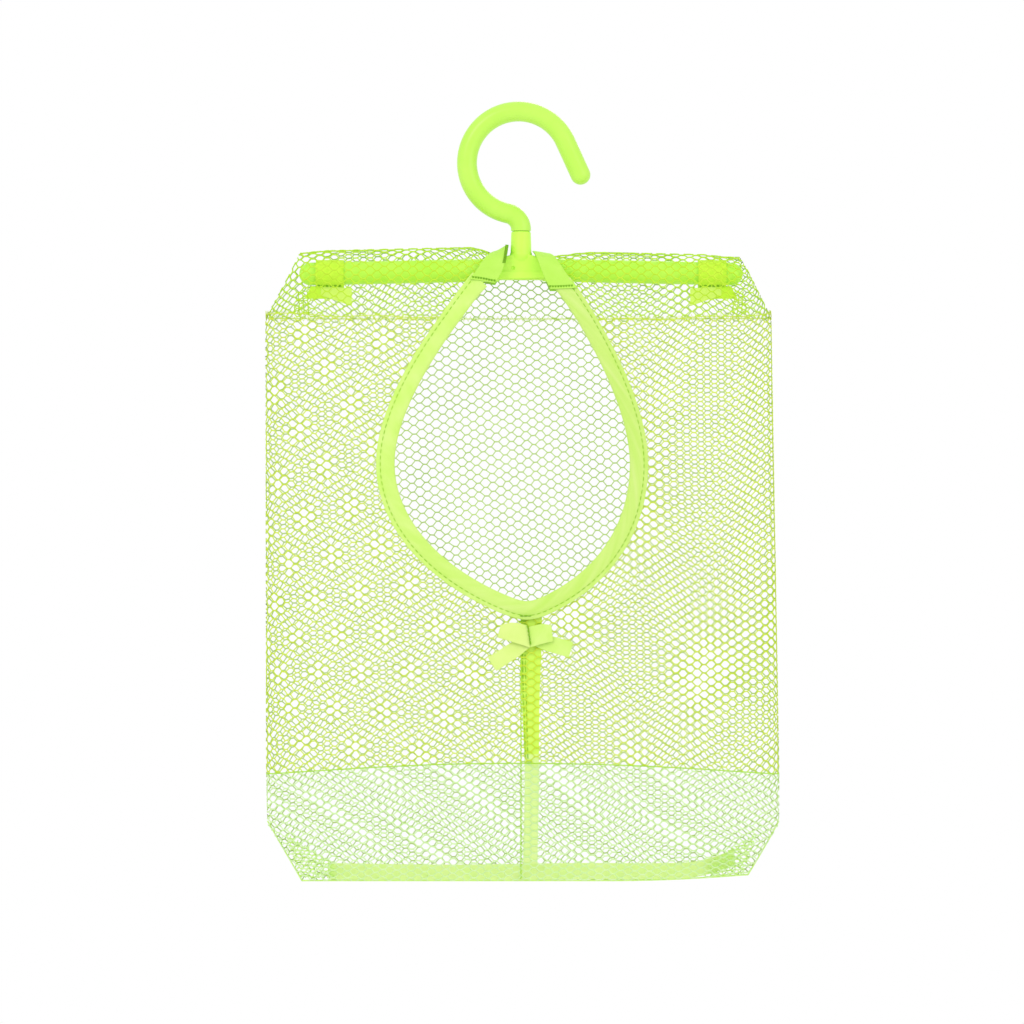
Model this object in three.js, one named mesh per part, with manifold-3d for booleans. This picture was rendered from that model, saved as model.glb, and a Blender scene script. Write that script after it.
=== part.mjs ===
// Hanging mesh storage bag: a net bag with a ribbon-bound mouth on a small hanger with a swivel hook.
// Millimetres, +Z up, +X to the right as seen from the front, front towards -Y.
// The origin is where a rail carries the hook: the inside of the hook's crown, above the swivel axis.
import * as THREE from 'three';
import { mergeVertices } from 'three/addons/utils/BufferGeometryUtils.js';
import Module from 'manifold-3d';

const wasm = await Module();
wasm.setup();

// Clearances
const SEAM_GAP = 0.3;
const PIN_CLEARANCE = 0.3;
const FACE_CLEARANCE = 0.3;
const RIBBON_SLACK = 0.8;

// Swivel hook
const ROD_DIAMETER = 10;
const CROWN_RADIUS = 20.75;
const CROWN_SHIFT = -1.25;
const ARM_ANGLE = 24.5;
const ARM_LENGTH = 18.2;
const NECK_ANGLE = 258;
const NECK_STRAIGHT = 0.6;
const PIN_DIAMETER = 4;
const HEAD_DIAMETER = 5.2;
const HEAD_HEIGHT = 3.4;
const HEAD_SLOT = 1.1;

// Hanger
const SOCKET_TO_BAR = 19;
const SOCKET_TOP_DIAMETER = 9.8;
const SOCKET_BASE_DIAMETER = 10.4;
const SOCKET_HEIGHT = 10.5;
const BOSS_DIAMETER = 11;
const BOSS_HEIGHT = 6;
const BORE_DEPTH = 14.8;
const HUB_WIDTH = 28;
const HUB_THICKNESS = 7.8;
const HUB_RISE = 8;
const HUB_DROP = 5.25;
const HUB_EDGE = 0.6;
const HUB_LIP_HEIGHT = 3.4;
const HUB_LIP_DEPTH = 0.5;
const GATE_DIAMETER = 2.2;
const BAR_DIAMETER = 11.5;
const BAR_INSET = 16.5;
const BAR_DROOP = 2.4;
const BAR_FRONT_WALL = 2;
const BAR_SLOT = 6.4;
const RIB_THICKNESS = 1.6;
const RIB_PITCH = 22;

// Net bag
const NET_THICKNESS = 0.6;
const ROOF_SLACK = 3.65;
const BODY_HALF = 127.5;
const RIDGE_INSET = 17;
const SHOULDER_INSET = 0.5;
const BOTTOM_INSET = 17;
const SHOULDER_DROP = 24.25;
const BOTTOM_DROP = 306.5;
const HEM_RISE = 58;
const SIDE_RISE = 30.5;
const SHOULDER_DEPTH = 13;
const HEM_FRONT = 22;
const HEM_BACK = 13.5;
const BOTTOM_BACK = 14;
const ROOF_POWER = 10;
const BODY_POWER = 5;
const BOTTOM_POWER = 24;
const NOTCH_DROP = 2;
const PANEL_COLUMNS = 9;
const ROOF_ROWS = 10;

// Cells of the net, drawn larger than they are
const CELL_SCALE = 7;
const CELL_LEG = 1.6;
const CELL_SLANT = 1.975;
const CELL_HEIGHT = 4.37;
const CELL_STRAND = 0.4;
const CELL_MARGIN = 3;
const CELL_LEAST = 0.15;

// Mouth in the front of the bag, the middle of its binding
const MOUTH_TOP_LEFT = 22;
const MOUTH_TOP_RIGHT = 21.5;
const MOUTH_TOP_DROP = 8.4;
const BELLY_LEFT = 67.75;
const BELLY_RIGHT = 58.5;
const BELLY_LEFT_DROP = 97;
const BELLY_RIGHT_DROP = 94;
const MOUTH_BOTTOM_DROP = 169.5;
const MOUTH_BOTTOM_SHIFT = 2;

// Ribbon
const RIBBON_THICKNESS = 0.6;
const BINDING_WIDTH = 9;
const LOOP_TOP_X = 10.6;
const LOOP_TOP_WIDTH = 7.6;
const LOOP_FOOT_X = 19.8;
const LOOP_FOOT_WIDTH = 12.4;
const LOOP_FOOT_DROP = 7.2;
const END_LOOP_INSET = 15.5;
const END_LOOP_WIDTH = 14;
const END_SEAM_DROP = 9;
const TAIL_LENGTH = 22;
const TAIL_WIDTH = 9;
const TAIL_TILT = 11;
const TAPE_WIDTH = 10;
const TAPE_UNDER_BOW = 8;
const TAPE_FOOT_RISE = 10;
const BOTTOM_TAPE_WIDTH = 8;
const BOTTOM_TAPE_INSET = 12.5;

// Bow
const BOW_X = 3.7;
const BOW_DROP = 183;
const BOW_KNOT_HEIGHT = 10.8;
const BOW_LOOP_DEPTH = 4.4;
const BOW_LOOP_TILT = 9;
const BOW_LOOP_LEFT_LENGTH = 15.5;
const BOW_LOOP_RIGHT_LENGTH = 12;
const BOW_LOOP_LEFT_HEIGHT = 6.6;
const BOW_LOOP_RIGHT_HEIGHT = 8;
const BOW_TAIL_DROP = 1.4;
const BOW_TAIL_WIDTH = 8;
const BOW_TAIL_LEFT_LENGTH = 22.5;
const BOW_TAIL_RIGHT_LENGTH = 20.8;
const BOW_TAIL_LEFT_TILT = 33;
const BOW_TAIL_RIGHT_TILT = 16;

// Facets
const ROUND_SIDES = 20;
const BEND_SIDES = 8;
const HOOK_STEPS = 34;
const { degToRad, lerp, clamp } = THREE.MathUtils;

// Solids

function toSolid(geometry) {
  const bare = geometry.clone();
  bare.deleteAttribute('normal');
  bare.deleteAttribute('uv');
  const welded = mergeVertices(bare, 1e-4);
  const corners = welded.index.array;
  const kept = [];
  for (let i = 0; i < corners.length; i += 3) {
    const [a, b, c] = [corners[i], corners[i + 1], corners[i + 2]];
    if (a !== b && b !== c && c !== a) kept.push(a, b, c);
  }
  const vertProperties = Float32Array.from(welded.attributes.position.array);
  const build = (triVerts) => new wasm.Manifold(new wasm.Mesh({ numProp: 3, vertProperties, triVerts }));
  const asDrawn = build(Uint32Array.from(kept));
  if (asDrawn.volume() > 0) return asDrawn;
  const turned = [];
  for (let i = 0; i < kept.length; i += 3) turned.push(kept[i], kept[i + 2], kept[i + 1]);
  return build(Uint32Array.from(turned));
}

function toGeometry(solid) {
  const { vertProperties, triVerts } = solid.getMesh();
  const geometry = new THREE.BufferGeometry();
  geometry.setAttribute('position', new THREE.BufferAttribute(Float32Array.from(vertProperties), 3));
  geometry.setIndex(new THREE.BufferAttribute(Uint32Array.from(triVerts), 1));
  geometry.computeVertexNormals();
  return geometry;
}

// Moves every vertex of a plain geometry, so that a flat blank takes its bent shape.
function bend(geometry, place) {
  const position = geometry.attributes.position;
  for (let i = 0; i < position.count; i += 1) {
    const p = place(position.getX(i), position.getY(i), position.getZ(i));
    position.setXYZ(i, p.x, p.y, p.z);
  }
  return geometry;
}

// A flat blank laid on a surface: its x and y are the surface's own directions, its z the thickness.
function laid(blank, surface, lift = 0) {
  const step = 1e-3;
  return toSolid(bend(blank, (u, v, w) => {
    const du = surface(u + step, v).sub(surface(u - step, v));
    const dv = surface(u, v + step).sub(surface(u, v - step));
    return surface(u, v).addScaledVector(du.cross(dv).normalize(), w + lift);
  }));
}

// A plain sheet, with u and v from 0 to 1.
function sheet(surface, thickness, nu, nv, lift = 0) {
  const blank = new THREE.BoxGeometry(1, 1, thickness, nu, nv, 1).translate(0.5, 0.5, 0);
  return laid(blank, surface, lift);
}

function extrude(shape, depth, steps = 1, curveSegments = ROUND_SIDES) {
  return new THREE.ExtrudeGeometry(shape, { depth, steps, bevelEnabled: false, curveSegments });
}

// A prism of outlines drawn in the front view, right through the bag.
function frontPrism(shapes) {
  const reach = 2 * HEM_FRONT;
  return toSolid(extrude(shapes, 2 * reach).rotateX(Math.PI / 2).translate(0, reach, 0));
}

function lathe(profile) {
  const points = profile.map(([r, z]) => new THREE.Vector2(r, z));
  return new THREE.LatheGeometry(points, ROUND_SIDES).rotateX(Math.PI / 2);
}

// Materials

function plastic(colour, roughness) {
  return new THREE.MeshStandardMaterial({ color: colour, roughness, metalness: 0 });
}

const hookPlastic = () => plastic(0xcefd64, 0.3);
const hangerPlastic = () => plastic(0xc4fc5f, 0.36);
const netYarn = () => plastic(0xc2e07a, 0.85);
const bottomYarn = () => plastic(0xd2ecb0, 0.85);
const ribbon = () => plastic(0xd9fc87, 0.7);

const object = new THREE.Group();

function addNode(name, solid, material) {
  const mesh = new THREE.Mesh(toGeometry(solid), material);
  mesh.name = name;
  object.add(mesh);
}

// Hook: crown arc, open arm on the right, reverse bend down to the swivel axis at x = 0.

const rodRadius = ROD_DIAMETER / 2;
const crownLine = CROWN_RADIUS + rodRadius;
const crownCentre = new THREE.Vector2(CROWN_SHIFT, -CROWN_RADIUS);
const neckAngle = degToRad(NECK_ANGLE);
const armAngle = degToRad(ARM_ANGLE);
const onCrown = (a) => new THREE.Vector2(Math.cos(a), Math.sin(a)).multiplyScalar(crownLine).add(crownCentre);
const neckStart = onCrown(neckAngle);
const neckFall = neckAngle - 1.5 * Math.PI;
const neckRadius = -neckStart.x / (1 + Math.sin(neckFall));
const neckCentre = new THREE.Vector2(
  neckStart.x + neckRadius * Math.sin(neckFall),
  neckStart.y - neckRadius * Math.cos(neckFall),
);
const neckEndZ = neckCentre.y;
const hookBaseZ = neckEndZ - NECK_STRAIGHT;
const socketTopZ = hookBaseZ - FACE_CLEARANCE;
const barAxisZ = socketTopZ - SOCKET_TO_BAR;

const armStart = onCrown(armAngle);
const armWay = new THREE.Vector2(Math.sin(armAngle), -Math.cos(armAngle));
const armEnd = armStart.clone().addScaledVector(armWay, ARM_LENGTH);
const hookLine = [];
for (let i = 0; i < 3; i += 1) hookLine.push(armEnd.clone().lerp(armStart, i / 3));
for (let i = 0; i <= 22; i += 1) hookLine.push(onCrown(lerp(armAngle, neckAngle, i / 22)));
for (let i = 1; i <= 6; i += 1) {
  const turn = lerp(neckFall + Math.PI / 2, 0, i / 6);
  const spoke = new THREE.Vector2(Math.cos(turn), Math.sin(turn)).multiplyScalar(neckRadius);
  hookLine.push(neckCentre.clone().add(spoke));
}
hookLine.push(new THREE.Vector2(0, hookBaseZ));
const hookPoints = hookLine.map((p) => new THREE.Vector3(p.x, 0, p.y));
const hookCurve = new THREE.CatmullRomCurve3(hookPoints, false, 'centripetal');
const rodSection = new THREE.Shape().absarc(0, 0, rodRadius, 0, 2 * Math.PI);
const rod = toSolid(new THREE.ExtrudeGeometry(rodSection, {
  steps: HOOK_STEPS,
  curveSegments: ROUND_SIDES / 2,
  bevelEnabled: false,
  extrudePath: hookCurve,
}));
const tip = toSolid(new THREE.SphereGeometry(rodRadius, ROUND_SIDES, 10).translate(armEnd.x, 0, armEnd.y));

// The pin goes down the socket and its slotted head snaps out under the bore.
const pinRadius = PIN_DIAMETER / 2;
const boreRadius = pinRadius + PIN_CLEARANCE;
const headRadius = HEAD_DIAMETER / 2;
const headRoomRadius = headRadius + PIN_CLEARANCE;
const boreEndZ = socketTopZ - BORE_DEPTH;
const headTopZ = boreEndZ - FACE_CLEARANCE;
const headEndZ = headTopZ - HEAD_HEIGHT;
const pin = toSolid(lathe([
  [0, hookBaseZ + 1],
  [pinRadius, hookBaseZ + 1],
  [pinRadius, headTopZ],
  [headRadius, headTopZ],
  [headRadius, headTopZ - HEAD_HEIGHT / 4],
  [pinRadius * 0.8, headEndZ],
  [0, headEndZ],
]));
const headSlot = toSolid(
  new THREE.BoxGeometry(HEAD_SLOT, HEAD_DIAMETER + 2, 2 * HEAD_HEIGHT).translate(0, 0, headEndZ - 0.2),
);
addNode('hook', rod.add(tip).add(pin).subtract(headSlot), hookPlastic());

// Hanger: hub plate with a socket for the pin, and two round arms, cored from behind between cross ribs.

const barRadius = BAR_DIAMETER / 2;
const armReach = BODY_HALF - BAR_INSET;
const armSlope = Math.atan2(BAR_DROOP, armReach);
const barAxisAt = (x) => barAxisZ - BAR_DROOP * Math.abs(x) / armReach;
const hubHalf = HUB_WIDTH / 2;
const hubTopZ = barAxisZ + HUB_RISE;
const hubFootZ = barAxisZ - HUB_DROP;
const hubOutline = new THREE.Shape();
hubOutline.moveTo(-hubHalf, hubFootZ);
hubOutline.lineTo(hubHalf, hubFootZ);
hubOutline.bezierCurveTo(hubHalf, barAxisZ + HUB_RISE / 2, hubHalf * 0.7, hubTopZ - 1, 0, hubTopZ);
hubOutline.bezierCurveTo(-hubHalf * 0.7, hubTopZ - 1, -hubHalf, barAxisZ + HUB_RISE / 2, -hubHalf, hubFootZ);
const hubPlate = toSolid(new THREE.ExtrudeGeometry(hubOutline, {
  depth: HUB_THICKNESS - 2 * HUB_EDGE,
  bevelEnabled: true,
  bevelThickness: HUB_EDGE,
  bevelSize: HUB_EDGE,
  bevelOffset: -HUB_EDGE,
  bevelSegments: 2,
  curveSegments: BEND_SIDES,
}).rotateX(Math.PI / 2).translate(0, HUB_THICKNESS / 2 - HUB_EDGE, 0));
const lipThickness = HUB_THICKNESS + 2 * HUB_LIP_DEPTH;
const hubLip = toSolid(new THREE.BoxGeometry(HUB_WIDTH - 4 * HUB_EDGE, lipThickness, HUB_LIP_HEIGHT)
  .translate(0, 0, hubFootZ + HUB_EDGE + HUB_LIP_HEIGHT / 2));
const ringZ = socketTopZ - SOCKET_HEIGHT;
const bossFootZ = ringZ - BOSS_HEIGHT;
const socketTop = SOCKET_TOP_DIAMETER / 2;
const socketBase = SOCKET_BASE_DIAMETER / 2;
const bossRadius = BOSS_DIAMETER / 2;
const bossEnd = [];
for (let i = 0; i <= 5; i += 1) {
  const a = lerp(0, Math.PI / 2, i / 5);
  bossEnd.push([i < 5 ? bossRadius * Math.cos(a) : 0, bossFootZ + BOSS_HEIGHT * 0.8 * (1 - Math.sin(a))]);
}
const socket = toSolid(lathe([
  [0, socketTopZ],
  [socketTop - HUB_EDGE, socketTopZ],
  [socketTop, socketTopZ - HUB_EDGE],
  [socketBase, ringZ],
  [bossRadius, ringZ - HUB_EDGE],
  ...bossEnd,
]));
const gateMark = toSolid(new THREE.SphereGeometry(GATE_DIAMETER / 2, 10, 6)
  .translate(-HUB_WIDTH / 7, -HUB_THICKNESS / 2, barAxisZ + HUB_EDGE));

function hangerArm(side) {
  const dome = [];
  for (let i = 0; i <= 5; i += 1) {
    const a = lerp(0, Math.PI / 2, i / 5);
    dome.push([barRadius * Math.cos(a), armReach - barRadius + barRadius * Math.sin(a)]);
  }
  dome[5][0] = 0;
  const armFoot = hubHalf - 2 * RIB_THICKNESS;
  let arm = toSolid(lathe([[0, armFoot], [barRadius, armFoot], ...dome]).rotateY(Math.PI / 2));
  const slotStart = hubHalf + RIB_THICKNESS;
  const slotEnd = armReach - barRadius;
  const count = Math.max(1, Math.floor((slotEnd - slotStart + RIB_THICKNESS) / RIB_PITCH));
  const pitch = (slotEnd - slotStart + RIB_THICKNESS) / count;
  const depth = BAR_DIAMETER - BAR_FRONT_WALL;
  const pocketY = BAR_FRONT_WALL - barRadius + depth / 2;
  for (let i = 0; i < count; i += 1) {
    const pocket = new THREE.BoxGeometry(pitch - RIB_THICKNESS, depth, BAR_SLOT)
      .translate(slotStart + (i + 0.5) * pitch - RIB_THICKNESS / 2, pocketY, 0);
    arm = arm.subtract(toSolid(pocket));
  }
  const placed = toGeometry(arm).rotateY(armSlope);
  if (side < 0) placed.scale(-1, 1, 1);
  return toSolid(placed.translate(0, 0, barAxisZ));
}

// A round hole down the swivel axis.
function drilled(radius, topZ, endZ) {
  return toSolid(lathe([[0, topZ], [radius, topZ], [radius, endZ], [0, endZ]]));
}

const bore = drilled(boreRadius, socketTopZ + 1, boreEndZ - 1);
const headRoom = drilled(headRoomRadius, boreEndZ, hubFootZ - 1);
const hanger = hubPlate.add(hubLip).add(socket).add(hangerArm(1)).add(hangerArm(-1));
addNode('hanger_bar', hanger.subtract(bore).subtract(headRoom).subtract(gateMark), hangerPlastic());

// Net bag. Heights are measured down from the bar. At each station the bag has a half width, the place of its
// front, its side crease and its back, and a power that makes its section rounder or squarer.

const roofRadius = barRadius + ROOF_SLACK;
const shoulderZ = barAxisZ - SHOULDER_DROP;
const bottomZ = barAxisZ - BOTTOM_DROP;
const hemZ = bottomZ + HEM_RISE;
const sideZ = bottomZ + SIDE_RISE;
const ridgeHalf = BODY_HALF - RIDGE_INSET;
const shoulderHalf = BODY_HALF - SHOULDER_INSET;
const bottomHalf = BODY_HALF - BOTTOM_INSET;
const barHalf = lerp(shoulderHalf, ridgeHalf, SHOULDER_DROP / (SHOULDER_DROP + roofRadius));
const netStack = NET_THICKNESS / 2 + SEAM_GAP + RIBBON_THICKNESS / 2;
const bottomFront = BOTTOM_BACK - 2 * netStack - 0.2;
const sideShare = (hemZ - sideZ) / (hemZ - bottomZ);
const sideFront = lerp(-HEM_FRONT, bottomFront, sideShare);
const sideBack = lerp(HEM_BACK, BOTTOM_BACK, sideShare);
const stations = [
  { z: barAxisZ + roofRadius, half: ridgeHalf, front: -roofRadius, back: roofRadius, power: ROOF_POWER },
  { z: barAxisZ, half: barHalf, front: -roofRadius, back: roofRadius, power: ROOF_POWER },
  { z: shoulderZ, half: shoulderHalf, front: -SHOULDER_DEPTH, back: SHOULDER_DEPTH, power: BODY_POWER },
  { z: hemZ, half: BODY_HALF, front: -HEM_FRONT, back: HEM_BACK, power: BODY_POWER },
  { z: sideZ, half: BODY_HALF, front: sideFront, back: sideBack, power: BODY_POWER },
  { z: bottomZ, half: bottomHalf, front: bottomFront, back: BOTTOM_BACK, power: BOTTOM_POWER },
];

function stationAt(z) {
  let i = 0;
  while (i < stations.length - 2 && z < stations[i + 1].z) i += 1;
  const [above, below] = [stations[i], stations[i + 1]];
  const share = (above.z - z) / (above.z - below.z);
  const at = { z };
  for (const key of ['half', 'front', 'back', 'power']) at[key] = lerp(above[key], below[key], share);
  at.crease = (at.front + at.back) / 2;
  return at;
}

const fullness = (share, power) => Math.sqrt(Math.max(0, 1 - Math.abs(share) ** power));

// The place of the front or back net at a given x and height.
function netY(side, x, z) {
  const at = stationAt(z);
  return at.crease + (at[side] - at.crease) * fullness(Math.min(1, Math.abs(x) / at.half), at.power);
}

// A net's edge stops short of the side crease, to leave the other net's edge its thickness and a seam gap. The
// flare is how far p = 1 goes towards the crease, on a scale that spreads equal steps of p closer there.
function flareAt(depth, power) {
  const edge = Math.min(0.9, (NET_THICKNESS + SEAM_GAP) / 2 / Math.max(1e-6, Math.abs(depth)));
  return 1 - Math.sqrt(1 - (1 - edge * edge) ** (1 / power));
}

const shareAt = (p, flare) => 1 - (1 - Math.abs(p) * flare) ** 2;

// The net at one height, from its left crease (p = -1) past the centre line (p = 0) to its right one (p = 1).
function netPoint(side, p, z) {
  const at = stationAt(z);
  const depth = at[side] - at.crease;
  const share = shareAt(p, flareAt(depth, at.power));
  return new THREE.Vector3(Math.sign(p) * at.half * share, at.crease + depth * fullness(share, at.power), z);
}

// How far out a net's edge lies at one height.
function edgeX(side, z) {
  const at = stationAt(z);
  return at.half * shareAt(1, flareAt(at[side] - at.crease, at.power));
}

// The p of a place on the net in the front view.
function netP(side, x, z) {
  const at = stationAt(z);
  const spread = 1 - Math.sqrt(Math.max(0, 1 - Math.abs(x) / at.half));
  return Math.sign(x) * Math.min(1, spread / flareAt(at[side] - at.crease, at.power));
}

// Roof over the bar: t = -1 at the front shoulder, 0 at the ridge and 1 at the back shoulder. It goes round
// the bar, then straight down to the shoulder, and follows the droop of the bar.
const arcLength = roofRadius * Math.PI / 2;
const slopeLength = Math.hypot(SHOULDER_DROP, SHOULDER_DEPTH - roofRadius);
const arcShare = arcLength / (arcLength + slopeLength);

function roofProfile(t) {
  const run = Math.abs(t);
  if (run < arcShare) {
    const a = run / arcShare * Math.PI / 2;
    return { depth: roofRadius * Math.sin(a) * Math.sign(t), z: barAxisZ + roofRadius * Math.cos(a) };
  }
  const share = (run - arcShare) / (1 - arcShare);
  const depth = lerp(roofRadius, SHOULDER_DEPTH, share) * Math.sign(t);
  return { depth, z: lerp(barAxisZ, shoulderZ, share) };
}

function roofPoint(x, t) {
  const { depth, z } = roofProfile(t);
  const at = stationAt(z);
  const droop = BAR_DROOP * Math.abs(x) / armReach * (z - shoulderZ) / (barAxisZ + roofRadius - shoulderZ);
  return new THREE.Vector3(x, depth * fullness(Math.min(1, Math.abs(x) / at.half), at.power), z - droop);
}

function roofNetPoint(p, t) {
  const { depth, z } = roofProfile(t);
  const at = stationAt(z);
  return roofPoint(Math.sign(p) * at.half * shareAt(p, flareAt(depth, at.power)), t);
}

// Mouth: two curves down from the hanger loops to the belly, and on to the point at the bottom.
const mouthTopZ = barAxisZ - MOUTH_TOP_DROP;
const mouthBottom = new THREE.Vector2(MOUTH_BOTTOM_SHIFT, barAxisZ - MOUTH_BOTTOM_DROP);

function mouthSide(sign, topX, bellyX, bellyDrop) {
  const top = new THREE.Vector2(sign * topX, mouthTopZ);
  const belly = new THREE.Vector2(sign * bellyX, barAxisZ - bellyDrop);
  const fall = top.y - belly.y;
  const rise = belly.y - mouthBottom.y;
  const lean = (bellyX - topX) * 0.54;
  const upper = new THREE.CubicBezierCurve(
    top,
    new THREE.Vector2(sign * (topX + lean), top.y - fall * 0.33),
    new THREE.Vector2(belly.x, belly.y + fall * 0.28),
    belly,
  );
  const lower = new THREE.CubicBezierCurve(
    belly,
    new THREE.Vector2(belly.x, belly.y - rise * 0.45),
    new THREE.Vector2(lerp(mouthBottom.x, belly.x, 0.56), mouthBottom.y + rise * 0.175),
    mouthBottom,
  );
  const end = top.clone().addScaledVector(upper.getTangent(0), -BINDING_WIDTH);
  return [end, ...upper.getSpacedPoints(14).slice(0, -1), ...lower.getSpacedPoints(16)];
}

const mouthLeft = mouthSide(-1, MOUTH_TOP_LEFT, BELLY_LEFT, BELLY_LEFT_DROP);
const mouthRight = mouthSide(1, MOUTH_TOP_RIGHT, BELLY_RIGHT, BELLY_RIGHT_DROP);
const mouthLine = [...mouthLeft, ...mouthRight.reverse().slice(1)];
const mouthSteps = mouthLine.length - 1;

// The mouth's line moved outwards, away from the middle of the mouth.
function mouthOffset(i, offset) {
  const before = mouthLine[Math.max(0, i - 1)];
  const after = mouthLine[Math.min(mouthSteps, i + 1)];
  const along = after.clone().sub(before).normalize();
  return new THREE.Vector2(mouthLine[i].x + along.y * offset, mouthLine[i].y - along.x * offset);
}

// The edge of the mouth's line nearest to a place in the front view: a point on it, and the way into the net.
function mouthEdgeBy(place) {
  let best = { gap: Infinity };
  for (let i = 0; i < mouthSteps; i += 1) {
    const run = mouthLine[i + 1].clone().sub(mouthLine[i]);
    const share = clamp(place.clone().sub(mouthLine[i]).dot(run) / run.lengthSq(), 0, 1);
    const point = mouthLine[i].clone().addScaledVector(run, share);
    const gap = point.distanceTo(place);
    if (gap < best.gap) best = { gap, point, inward: new THREE.Vector2(run.y, -run.x).normalize() };
  }
  return best;
}

const bindingHalf = BINDING_WIDTH / 2;

// What is cut out of the front nets: the mouth, up to the fold of its binding, and between the hanger loops.
const cutOffset = RIBBON_THICKNESS + SEAM_GAP - bindingHalf;
const roofTopZ = barAxisZ + 1.5 * roofRadius;

const mouthCut = new THREE.Shape();
mouthCut.moveTo(-LOOP_TOP_X, roofTopZ);
mouthLine.forEach((_, i) => {
  const p = mouthOffset(i, cutOffset);
  mouthCut.lineTo(p.x, p.y);
});
mouthCut.lineTo(LOOP_TOP_X, roofTopZ);
const mouthTool = frontPrism(mouthCut);
const notch = new THREE.Shape();
const notchZ = barAxisZ - NOTCH_DROP;
const notchHalf = lerp(LOOP_TOP_X, LOOP_FOOT_X, (roofTopZ - notchZ) / (roofTopZ - barAxisZ + LOOP_FOOT_DROP));
notch.moveTo(-LOOP_TOP_X, roofTopZ);
notch.lineTo(-notchHalf, notchZ);
notch.lineTo(notchHalf, notchZ);
notch.lineTo(LOOP_TOP_X, roofTopZ);
const notchTool = frontPrism(notch);

// The net is drawn flat in the front view as hexagon tiles with level tops, in columns that are staggered by
// half a tile. A tile is cut off at its panel's border. Its cell is a smaller hexagon, kept clear of seams and
// binding.
const tilePitch = CELL_SCALE * (CELL_LEG + CELL_SLANT);
const tileHeight = CELL_SCALE * CELL_HEIGHT;
const tileArea = tilePitch * tileHeight;
const tileColumns = Math.ceil(BODY_HALF / tilePitch);
const tileRows = Math.ceil(BOTTOM_DROP / tileHeight);
const cellShrink = 1 - CELL_STRAND / CELL_HEIGHT;

function hexagon(centre, scale) {
  const top = scale * CELL_LEG / 2;
  const reach = top + scale * CELL_SLANT;
  const rise = scale * CELL_HEIGHT / 2;
  const corners = [[reach, 0], [top, rise], [-top, rise], [-reach, 0], [-top, -rise], [top, -rise]];
  return corners.map(([dx, dz]) => new THREE.Vector2(centre.x + dx, centre.y + dz));
}

// What is left of an outline on the inner side of an edge, and clear of it by a margin.
function clipped(outline, { point, inward }, margin) {
  const depthOf = (corner) => corner.clone().sub(point).dot(inward) - margin;
  const kept = [];
  outline.forEach((corner, i) => {
    const next = outline[(i + 1) % outline.length];
    const [depth, nextDepth] = [depthOf(corner), depthOf(next)];
    if (depth >= 0) kept.push(corner);
    if (depth * nextDepth < 0) kept.push(corner.clone().lerp(next, depth / (depth - nextDepth)));
  });
  return kept;
}

// The tiles inside a border that is drawn anticlockwise. Scraps of cells are left out.
function tilesWithin(border, besideMouth) {
  const edges = border.map((point, i) => {
    const run = border[(i + 1) % border.length].clone().sub(point);
    return { point, inward: new THREE.Vector2(-run.y, run.x).normalize() };
  });
  const tapeEdge = new THREE.Vector2(0, bottomZ + BOTTOM_TAPE_WIDTH);
  const aboveTape = { point: tapeEdge, inward: new THREE.Vector2(0, 1) };
  const tiles = [];
  for (let i = -tileColumns; i <= tileColumns; i += 1) {
    for (let j = -tileRows; j <= tileRows; j += 1) {
      const stagger = i % 2 === 0 ? 0 : 0.5;
      const centre = new THREE.Vector2(i * tilePitch, hemZ + (j + stagger) * tileHeight);
      let tile = hexagon(centre, CELL_SCALE);
      for (const edge of edges) tile = clipped(tile, edge, 0);
      if (tile.length < 3) continue;
      let cell = hexagon(centre, CELL_SCALE * cellShrink);
      for (const edge of [...edges, aboveTape]) cell = clipped(cell, edge, CELL_MARGIN);
      if (besideMouth) cell = clipped(cell, mouthEdgeBy(centre), bindingHalf + CELL_MARGIN / 2);
      const whole = cell.length < 3 || THREE.ShapeUtils.area(cell) < CELL_LEAST * tileArea;
      tiles.push({ tile, cell: whole ? [] : cell });
    }
  }
  return tiles;
}

// Tiles joined along their shared edges and given a thickness. A tile with no cell is a fan about its middle.
function netBlank(tiles) {
  const places = [];
  const known = new Map();
  const numberOf = (place) => {
    const key = `${place.x.toFixed(3)} ${place.y.toFixed(3)}`;
    if (!known.has(key)) {
      known.set(key, places.length);
      places.push(place);
    }
    return known.get(key);
  };
  const faces = [];
  for (const { tile, cell } of tiles) {
    if (cell.length > 0) {
      const corners = [...tile, ...cell].map(numberOf);
      const ring = THREE.ShapeUtils.triangulateShape(tile, [cell]);
      for (const face of ring) faces.push(face.map((n) => corners[n]));
    } else {
      const rim = tile.map(numberOf);
      const sum = new THREE.Vector2();
      for (const corner of tile) sum.add(corner);
      const hub = numberOf(sum.divideScalar(tile.length));
      rim.forEach((corner, n) => faces.push([hub, corner, rim[(n + 1) % rim.length]]));
    }
  }
  const edges = new Map();
  for (const [a, b, c] of faces) {
    for (const [from, to] of [[a, b], [b, c], [c, a]]) edges.set(`${from} ${to}`, [from, to]);
  }
  const count = places.length;
  const index = [];
  for (const [a, b, c] of faces) index.push(a, b, c, c + count, b + count, a + count);
  for (const [from, to] of edges.values()) {
    if (!edges.has(`${to} ${from}`)) index.push(to, from, from + count, to, from + count, to + count);
  }
  const layer = (w) => places.flatMap(({ x, y }) => [x, y, w]);
  const position = [...layer(NET_THICKNESS / 2), ...layer(-NET_THICKNESS / 2)];
  const blank = new THREE.BufferGeometry();
  blank.setAttribute('position', new THREE.Float32BufferAttribute(position, 3));
  return blank.setIndex(index);
}

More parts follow.
